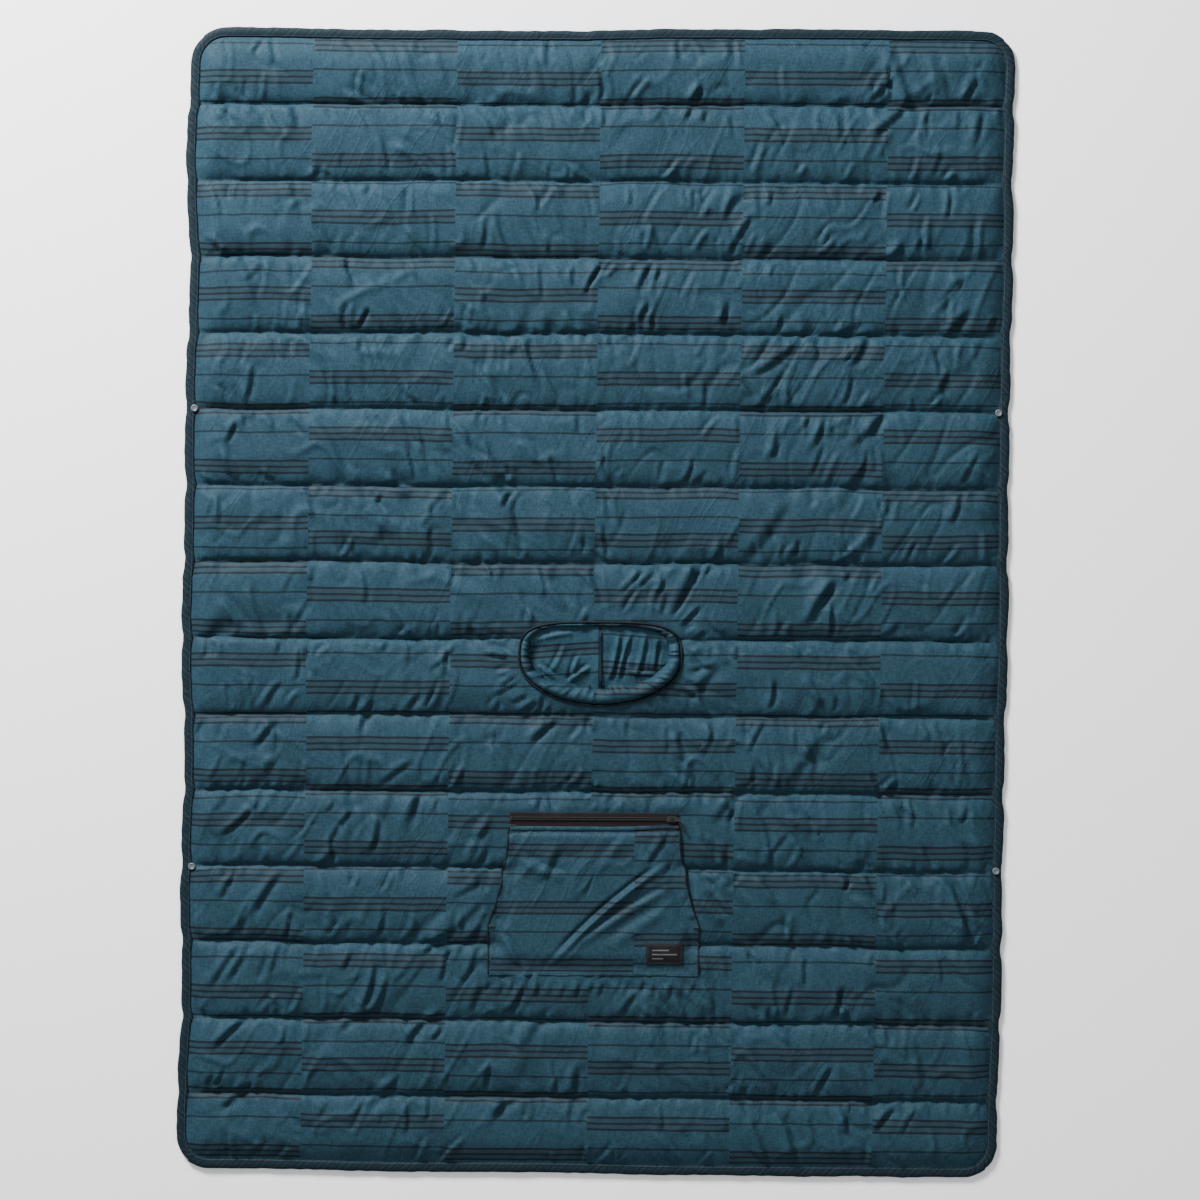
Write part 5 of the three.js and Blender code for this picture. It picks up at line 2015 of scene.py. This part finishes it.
@dataclass
class Pocket:
    """The pouch pocket with its zipped mouth and woven label."""

    layout: Layout
    finishes: Finishes
    surface: Surface
    top_width: float = 0.294
    width: float = 0.366
    height: float = 0.268
    opening: float = 0.180
    below_fold: float = 0.318
    label_width: float = 0.064
    label_height: float = 0.036

    def __post_init__(self) -> None:
        """Works out the pocket's edges."""
        self.top = self.layout.fold_y - self.below_fold
        self.bottom = self.top - self.height
        low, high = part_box("zip_coil_lower"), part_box("zip_coil_upper")
        self.zip_y = (low[1].y + high[0].y) / 2
        self.top -= 0.0015
        self.coil_z = low[0].z

    def half_width(self, y: Array) -> Array:
        """Half the pocket's width at a place along Y: a straight slant that eases into upright sides.

        Args:
            y: Places along Y.

        Returns:
            Metres at each place.
        """
        share = np.clip((self.top - y) / self.opening, 0, 1)
        eased = share**1.5
        return (self.top_width + (self.width - self.top_width) * eased) / 2

    def creases(self) -> list[Crease]:
        """The panel's long folds.

        Returns:
            The creases.
        """
        t = self.top
        return [
            Crease((-0.085, t - 0.262), (0.145, t - 0.060), 0.0056, 0.0062, 0.012),
            Crease((-0.040, t - 0.225), (0.150, t - 0.105), 0.0030, 0.0070, 0.006),
            Crease((-0.135, t - 0.060), (-0.040, t - 0.098), 0.0034, 0.0100, -0.006),
            Crease((-0.168, t - 0.190), (-0.125, t - 0.262), 0.0034, 0.0070, 0.004),
            Crease((0.020, t - 0.225), (0.135, t - 0.150), 0.0030, 0.011, 0.005),
            Crease((0.075, t - 0.050), (0.140, t - 0.130), 0.0026, 0.010),
            Crease((-0.060, t - 0.030), (-0.100, t - 0.110), 0.0024, 0.009),
            Crease((0.125, t - 0.015), (0.085, t - 0.075), 0.0028, 0.007),
            Crease((0.000, t - 0.090), (0.060, t - 0.020), 0.0022, 0.010),
        ]

    def panel_height(self, x: Array, y: Array) -> Array:
        """The panel's height over the floor.

        Args:
            x: Places along X.
            y: Places along Y.

        Returns:
            Metres over the floor.
        """
        half = self.half_width(y)
        below = self.surface.height(x, y, 5)
        sewn = below + 0.0010
        side = half - np.abs(x)
        open_side = smooth((y - (self.top - self.opening)) / 0.03) * smooth((self.top - y) / 0.03)
        rise = smooth((side - 0.006) / 0.035)
        rise = np.maximum(rise, 0.5 * open_side)
        from_top = self.top - self.sag(x) - y
        rise = rise * smooth((from_top + 0.004) / 0.026) * smooth((y - self.bottom - 0.006) / 0.035)
        full = 0.0225 + 0.0018 * waviness(x, y, 0.09, 0.06, 121)
        z = sewn + np.maximum(full - sewn, 0) * rise
        pucker = np.exp(-np.clip(np.minimum(np.minimum(side, y - self.bottom), 0.05), 0, 1) / 0.012)
        z = z + 0.0024 * pucker * waviness(x, y, 0.009, 0.011, 122)
        for crease in self.creases():
            z = z + crease.rise(x, y) * smooth(rise * 1.6)
        web = ridges(x, y, -32.0, 0.036, 2.4, 0.32, 231) - ridges(x, y, -20.0, 0.040, 2.4, 0.3, 233)
        z = z + 0.0026 * rise * web
        z = z + 0.0012 * rise * ridges(x, y, 40.0, 0.026, 2.0, 0.34, 235)
        dip = np.exp(-(((from_top - 0.0105) / 0.0030) ** 2))
        z = z - 0.0022 * dip + 0.0010 * np.exp(-((from_top / 0.03) ** 2)) * waviness(x, y, 0.010, 0.02, 237)
        return np.maximum(z, sewn + 0.0006)

    def build(self) -> None:
        """Makes every piece of the pocket."""
        self.panel()
        self.hem()
        self.lining()
        self.stitches()
        self.label()
        self.zip_tapes()
        self.coils()
        self.hardware()

    def sag(self, x: Array) -> Array:
        """How far the mouth's edge sags below its ends."""
        return 0.0058 - 0.0046 * smooth((x - 0.05) / 0.09)

    def _grid(self, rows: int, columns: int, inset: float = 0.0) -> tuple[Array, Array]:
        """Places on the pocket's outline, as rows of columns.

        Args:
            rows: Rows of the grid.
            columns: Columns of the grid.
            inset: How far inside the edge.

        Returns:
            X and Y at each place of the grid.
        """
        y = np.linspace(self.bottom + inset, self.top, rows)
        u = np.linspace(-1, 1, columns)
        ripple = 0.0026 * waviness(y, y * 0, 0.022, 1.0, 131)
        x = u[None] * (self.half_width(y) - inset + ripple)[:, None]
        bottom = 0.0010 * waviness(x, x * 0, 0.025, 1.0, 132)
        low = smooth((0.02 - (y[:, None] - self.bottom)) / 0.02)
        gy = np.repeat(y[:, None], columns, axis=1) + bottom * low
        gy -= self.sag(x) * smooth((y[:, None] - self.top + 0.06) / 0.06)
        return x, gy

    def panel(self) -> None:
        """The outer cloth."""
        rows, columns = 150, 190
        x, y = self._grid(rows, columns)
        z = self.panel_height(x, y)
        piece = laid_cloth("pocket_front", x, y, z)
        dress(piece, self.finishes.pocket)
        thicken(piece, 0.0007)
        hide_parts("pocket_panel")
        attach(piece, Half.FRONT.value)
        LOG.info("pocket panel")

    def hem(self) -> None:
        """The folded hems: along the mouth, down each hand opening and the turned edge below them, the side
        hems dark as painted shadow.
        """
        span = np.linspace(-1, 1, 120)
        x = span * (self.top_width / 2 - 0.001)
        y = self.top - self.sag(x) - 0.0040
        z = self.panel_height(x, y) + 0.0011
        path = np.stack([x, y + 0.0006 * waviness(x, x * 0, 0.03, 1.0, 141), z], -1)
        self._strip("pocket_mouth_hem", path, np.array([0.0, 1.0, 0.0]), 0.0072)
        for sign, name in ((-1, "left"), (1, "right")):
            y = np.linspace(self.top - 0.003, self.bottom + 0.004, 130)
            half = self.half_width(y)
            x = sign * (half - 0.0008 + 0.0026 * waviness(y, y * 0, 0.022, 1.0, 131))
            z = self.panel_height(x, y) + 0.0002
            side = np.array([float(-sign), 0.0, 0.0])
            strip = self._strip(f"pocket_side_hem_{name}", np.stack([x, y, z], -1), side, 0.0030)
            # The side hems wear the dark piping cloth: painted shadow along the pocket's side edges.
            dress(strip, self.finishes.piping)

    def _strip(self, name: str, path: Array, side: Array, width: float) -> bpy.types.Object:
        """A folded strip of print along a path.

        Args:
            name: The piece's name.
            path: The path's points.
            side: The direction across it.
            width: The strip's width.

        Returns:
            The new object.
        """
        count = len(path)
        half = width / 2
        right = np.array([[half, -0.0006], [half, 0.0004], [half * 0.6, 0.0010]])
        profile = np.concatenate([right, [[0, 0.0012]], right[::-1] * [-1, 1]])
        piece = swept(name, path, np.tile(side, (count, 1)), upright(count), profile, False)
        layer = piece.data.uv_layers["cloth"].data
        for loop, vertex in zip(layer, piece.data.loops):
            place = piece.data.vertices[vertex.vertex_index].co
            loop.uv = (place.x, place.y - 0.02)
        dress(piece, self.finishes.pocket)
        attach(piece, Half.FRONT.value)
        return piece

    def lining(self) -> None:
        """The cloth behind the panel, on the shell."""
        rows, columns = 60, 80
        x, y = self._grid(rows, columns, 0.004)
        y = np.minimum(y, self.top - 0.004)
        z = self.surface.height(x, y, 4) + 0.0009
        piece = laid_cloth("pocket_back", x, y, z)
        dress(piece, self.finishes.lining)
        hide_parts("pocket_lining")
        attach(piece, Half.FRONT.value)

    def _over(self, x: Array, y: Array, gap: float) -> Array:
        """Points over the panel."""
        return np.stack([x, y, self.panel_height(x, y) + gap], -1)

    def stitches(self) -> None:
        """The rows along the mouth, the hand openings and the sewn edges, and the four bartacks."""
        rows: list[Array] = []
        x = np.linspace(-1, 1, 120) * (self.top_width / 2 - 0.002)
        for inset in (0.0100, 0.0122):
            rows.append(self._over(x, self.top - self.sag(x) - inset, 0.0004))
        x = np.linspace(-1, 1, 140) * (self.width / 2 - 0.005)
        for inset in (0.0045, 0.0105):
            rows.append(self._over(x, np.full(140, self.bottom + inset), 0.0004))
        for sign in (-1, 1):
            y = np.linspace(self.top - 0.006, self.bottom + 0.005, 150)
            rows.append(self._over(sign * (self.half_width(y) - 0.0078), y, 0.0004))
        row = stitching(0.0034, 0.0024, 0.0008)
        piece = row.make("pocket_stitches", rows, self.finishes.thread, "thread")
        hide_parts("pocket_stitching")
        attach(piece, Half.FRONT.value)
        for sign, name in ((-1, "left"), (1, "right")):
            ends = (("top", self.top - 0.006, 0.010), ("bottom", self.top - self.opening, 0.009))
            for place, y, long in ends:
                x = sign * (float(self.half_width(np.array([y]))[0]) - 0.005)
                zigs = []
                for k in range(9):
                    t = k / 8 - 0.5
                    xs = np.array([x + t * long, x + t * long + 0.0003])
                    ys = np.array([y - 0.0012, y + 0.0012])
                    zigs.append(self._over(xs, ys, 0.0019))
                tack = stitching(0.0026, 0.0030, 0.0010).make(
                    f"pocket_tack_{place}_{name}", zigs, self.finishes.thread, "thread"
                )
                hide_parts(f"pocket_bartack_{place}_{name}")
                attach(tack, Half.FRONT.value)
        LOG.info("pocket stitches")

    def label(self) -> None:
        """The woven label, sewn on near the lower right corner."""
        right = self.width / 2 - 0.027
        low = self.bottom + 0.021
        rows, columns = 26, 44
        u, v = np.linspace(0, 1, columns), np.linspace(0, 1, rows)
        x = right - self.label_width + u[None] * self.label_width + 0.0 * v[:, None]
        y = low + v[:, None] * self.label_height + 0.0 * u[None]
        z = self.panel_height(x, y) + 0.0008
        z += 0.0004 * waviness(x, y, 0.02, 0.02, 151)
        uv = np.stack(np.broadcast_arrays(u[None] * self.label_width, v[:, None] * self.label_height), -1)
        piece = laid_cloth("woven_label", x, y, z, uv)
        dress(piece, WovenLabel(self.label_width, self.label_height).make())
        thicken(piece, 0.0006, 1.0)
        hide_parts("label")
        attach(piece, Half.FRONT.value)
        edge = 0.0011
        a, b = right - self.label_width + edge, right - edge
        c, d = low + edge, low + self.label_height - edge
        across, along = np.linspace(a, b, 30), np.linspace(c, d, 18)
        sides = [(across, np.full(30, y)) for y in (c, d)] + [(np.full(18, x), along) for x in (a, b)]
        paths = [self._over(x, y, 0.0018) for x, y in sides]
        tack = stitching(0.0026, 0.0018, 0.0005).make("label_stitches", paths, self.finishes.thread, "thread")
        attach(tack, Half.FRONT.value)
        LOG.info("label")

    def zip_tapes(self) -> None:
        """The zip's two tapes."""
        for sign, name in ((1, "upper"), (-1, "lower")):
            low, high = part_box(f"zip_tape_{name}")
            rows, columns = 8, 120
            x = np.linspace(low.x, high.x, columns)[None] + np.zeros((rows, 1))
            # The lower tape reaches 6 mm past its part, under the panel's hem, so that its dark cloth fills
            # the gap below the mouth as painted shadow.
            spread = 0.006 if sign < 0 else 0.0
            y = np.linspace(low.y - spread, high.y, rows)[:, None] + np.zeros((1, columns))
            from_chain = np.abs(y - self.zip_y)
            rest = np.maximum(self.surface.height(x, y, 3) + 0.0022, 0.012)
            z = low.z + 0.0004 + (np.minimum(rest, low.z) - low.z) * smooth((from_chain - 0.004) / 0.006)
            z = z + 0.00012 * waviness(x, y, 0.03, 0.01, 161)
            piece = laid_cloth(f"zip_tape_cloth_{name}", x, y, z)
            dress(piece, self.finishes.tape)
            thicken(piece, 0.0005)
            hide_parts(f"zip_tape_{name}")
            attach(piece, Half.FRONT.value)

    def coils(self) -> None:
        """The zip's teeth, one short turn of coil after another."""
        pitch = 0.0020
        for sign, name in ((1, "upper"), (-1, "lower")):
            low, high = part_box(f"zip_coil_{name}")
            shift = 0.0005 if sign > 0 else -0.0005
            x = np.array([low.x + 0.001 + shift, high.x - 0.001 + shift])
            middle = (low.y + high.y) / 2 - sign * 0.0002
            line = np.stack([x, np.full(2, middle), np.full(2, (low.z + high.z) / 2)], -1)
            size = (pitch * 0.82, high.y - low.y, high.z - low.z)
            teeth = BeadRow(pitch, size, 8, 5, sign * 0.12, follows=False)
            piece = teeth.make(f"zip_teeth_{name}", [line], self.finishes.coil, "zip_coil")
            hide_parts(f"zip_coil_{name}")
            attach(piece, Half.FRONT.value)
        LOG.info("zip teeth")

    def hardware(self) -> None:
        """The zip's stops, slider and pull, with softened edges."""
        for name, body in (
            ("zip_stop_left", Half.FRONT.value),
            ("zip_stop_right", Half.FRONT.value),
            ("zip_slider", "zip_slider"),
            ("zip_pull", "zip_pull"),
            ("zip_pull_loop", "zip_pull"),
        ):
            loop = name == "zip_pull_loop"
            bevel = 0.0 if loop else 0.00025
            piece = rounded_copy(bpy.data.objects[name], name.replace("zip_", "zipper_"), bevel)
            if loop:
                dress(piece, self.finishes.coil)
            else:
                dress(piece, self.finishes.zip_metal)
            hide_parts(name)
            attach(piece, body)
        LOG.info("zip hardware")


def rounded_copy(node: bpy.types.Object, name: str, bevel: float) -> bpy.types.Object:
    """A merged copy of a CAD node, its edges softened by a bevel where one is given.

    Args:
        node: The CAD node.
        name: The copy's name.
        bevel: The bevel's width, or 0 for none.

    Returns:
        The new object.
    """
    work = bmesh.new()
    work.from_mesh(node.data)
    bmesh.ops.remove_doubles(work, verts=work.verts, dist=1e-6)
    bmesh.ops.dissolve_limit(work, angle_limit=math.radians(2), verts=work.verts, edges=work.edges)
    mesh = bpy.data.meshes.new(name)
    work.to_mesh(mesh)
    work.free()
    mesh.polygons.foreach_set("use_smooth", [bevel == 0] * len(mesh.polygons))
    piece = linked(name, mesh)
    if bevel:
        edge = piece.modifiers.new("edges", "BEVEL")
        edge.width = bevel
        edge.segments = 2
        edge.limit_method = "ANGLE"
    return piece


# ---------------------------------------------------------------- snaps


@dataclass
class Snaps:
    """The caps on the side snaps, and the sockets and studs under them."""

    finishes: Finishes
    cap: tuple[tuple[float, float], ...] = (
        (0.17, -0.0055),
        (0.17, -0.0024),
        (0.96, -0.0024),
        (1.0, -0.0020),
        (1.0, -0.0013),
        (0.94, -0.0006),
        (0.84, -0.0001),
        (0.72, 0.0),
        (0.62, -0.0003),
        (0.56, -0.0007),
        (0.30, -0.0008),
        (0.08, -0.0008),
    )

    def build(self) -> None:
        """Makes every snap."""
        for half, under in ((Half.BACK, "socket"), (Half.FRONT, "stud")):
            for side in ("left", "right"):
                node = f"snap_cap_{half.part}_{side}"
                low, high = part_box(node)
                centre = ((low.x + high.x) / 2, (low.y + high.y) / 2, high.z)
                r = (high.x - low.x) / 2
                profile = [(r * share, z) for share, z in self.cap]
                cap = turned(f"snap_button_{half.part}_{side}", centre, profile)
                dress(cap, self.finishes.snap)
                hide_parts(node)
                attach(cap, half.value)
                below = bpy.data.objects[f"snap_{under}_{side}"]
                piece = rounded_copy(below, f"snap_lower_{under}_{side}", 0.0002)
                dress(piece, self.finishes.snap)
                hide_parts(f"snap_{under}_{side}")
                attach(piece, half.value)
        LOG.info("snaps")


# ---------------------------------------------------------------- studio


@dataclass(frozen=True)
class Studio:
    """The camera overhead, the lights and the pale floor."""

    frame_width: float = 2.0947
    aim: tuple[float, float] = (0.0079, 0.0026)
    distance: float = 5.2
    roll: float = 0.35
    sensor: float = 36.0
    floor_reach: float = 40.0
    floor_height: float = -0.0006

    def build(self) -> None:
        """Makes the camera, the lights and the floor."""
        scene = bpy.context.scene
        data = bpy.data.cameras.new("overhead")
        data.sensor_width = self.sensor
        data.lens = self.sensor * self.distance / self.frame_width
        data.clip_end = 50.0
        camera = linked("overhead", data)
        camera.location = (*self.aim, self.distance + 0.01)
        camera.rotation_euler = (0.0, 0.0, math.radians(self.roll))
        scene.camera = camera
        self._light("key", (-2.3, 3.6, 2.25), 1.2, 864.0)
        self._light("fill", (1.2, -1.6, 4.2), 3.0, 36.0)
        world = bpy.data.worlds.new("studio")
        world.use_nodes = True
        ground = world.node_tree.nodes["Background"]
        ground.inputs["Color"].default_value = (0.95, 0.97, 1.0, 1.0)
        ground.inputs["Strength"].default_value = 0.55
        scene.world = world
        reach = self.floor_reach
        corners = ((-reach, -reach), (reach, -reach), (reach, reach), (-reach, reach))
        points = [(*corner, self.floor_height) for corner in corners]
        floor = make_mesh("floor", points, [[0, 1, 2, 3]], soft=False)
        g = Graph("pale_floor")
        colour = g.mix(g.noise(g.object_place(), 2.0), [0.955, 0.955, 0.955, 1.0], [0.97, 0.97, 0.97, 1.0])
        g.coat(colour, 0.9)
        floor.data.materials.append(g.material)

    def _light(self, name: str, place: Sequence[float], size: float, power: float) -> None:
        """A square soft light that points at the blanket's middle.

        Args:
            name: The light's name.
            place: Where it stands.
            size: The light's width.
            power: Its power in watts.
        """
        data = bpy.data.lights.new(name, "AREA")
        data.size = size
        data.energy = power
        light = linked(name, data)
        light.location = place
        light.rotation_mode = "QUATERNION"
        light.rotation_quaternion = (-Vector(place)).to_track_quat("-Z", "Y")


def quilt_creases(layout: Layout) -> tuple[Crease, ...]:
    """The quilt's long creases, each drawn where the cloth pulls towards the neck, the pocket or a hem.

    Args:
        layout: The blanket's sizes.

    Returns:
        The creases.
    """
    y = layout.fold_y
    return (
        # towards the neck from the back left
        Crease((-0.515, y + 0.395), (-0.435, y + 0.265), 0.0050, 0.012, 0.010),
        Crease((-0.440, y + 0.265), (-0.340, y + 0.185), 0.0050, 0.012, -0.006),
        Crease((-0.210, y + 0.330), (-0.140, y + 0.135), 0.0055, 0.012, 0.010),
        Crease((-0.205, y + 0.190), (-0.145, y + 0.130), 0.0040, 0.010),
        Crease((-0.095, y + 0.110), (-0.050, y + 0.048), 0.0040, 0.010),
        Crease((-0.310, y + 0.130), (-0.180, y + 0.060), 0.0032, 0.012),
        # towards the neck from the back right
        Crease((0.185, y + 0.150), (0.125, y + 0.036), 0.0050, 0.012, -0.006),
        Crease((0.330, y + 0.260), (0.240, y + 0.140), 0.0036, 0.013, 0.008),
        Crease((0.470, y + 0.330), (0.400, y + 0.220), 0.0030, 0.014),
        # near the back hem
        Crease((0.475, y + 1.050), (0.535, y + 0.905), 0.0045, 0.012, 0.006),
        Crease((0.560, y + 1.030), (0.600, y + 0.940), 0.0030, 0.010),
        Crease((-0.300, y + 1.030), (-0.270, y + 0.955), 0.0026, 0.010),
        # on the front
        Crease((-0.200, y - 0.170), (-0.145, y - 0.245), 0.0045, 0.010, 0.004),
        Crease((0.215, y - 0.030), (0.165, y - 0.090), 0.0036, 0.010),
        Crease((-0.700, y - 0.015), (-0.480, y + 0.006), 0.0040, 0.016, 0.006),
        Crease((-0.455, y - 0.150), (-0.430, y - 0.410), 0.0028, 0.009, 0.006),
        Crease((0.260, y - 0.240), (0.200, y - 0.320), 0.0036, 0.010),
        Crease((0.400, y - 0.150), (0.330, y - 0.250), 0.0028, 0.012),
        Crease((-0.330, y - 0.560), (-0.230, y - 0.470), 0.0030, 0.011),
        Crease((0.330, y - 0.600), (0.240, y - 0.500), 0.0030, 0.011),
        Crease((-0.080, y - 0.630), (-0.130, y - 0.720), 0.0032, 0.011),
        Crease((0.100, y - 0.620), (0.130, y - 0.730), 0.0030, 0.011),
    )


def main() -> None:
    """Builds the blanket and its studio."""
    logging.basicConfig(level=logging.INFO, format="%(name)s: %(message)s")
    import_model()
    layout = Layout()
    Studio().build()
    finishes = Finishes(layout)
    quilt = Quilt(layout, finishes, creases=quilt_creases(layout))
    surface = Surface(**quilt.build())
    QuiltStitches(layout, finishes, surface).build()
    Binding(layout, finishes).build()
    Neck(layout, finishes, quilt, surface).build()
    Pocket(layout, finishes, surface).build()
    Snaps(finishes).build()


if __name__ == "__main__":
    main()
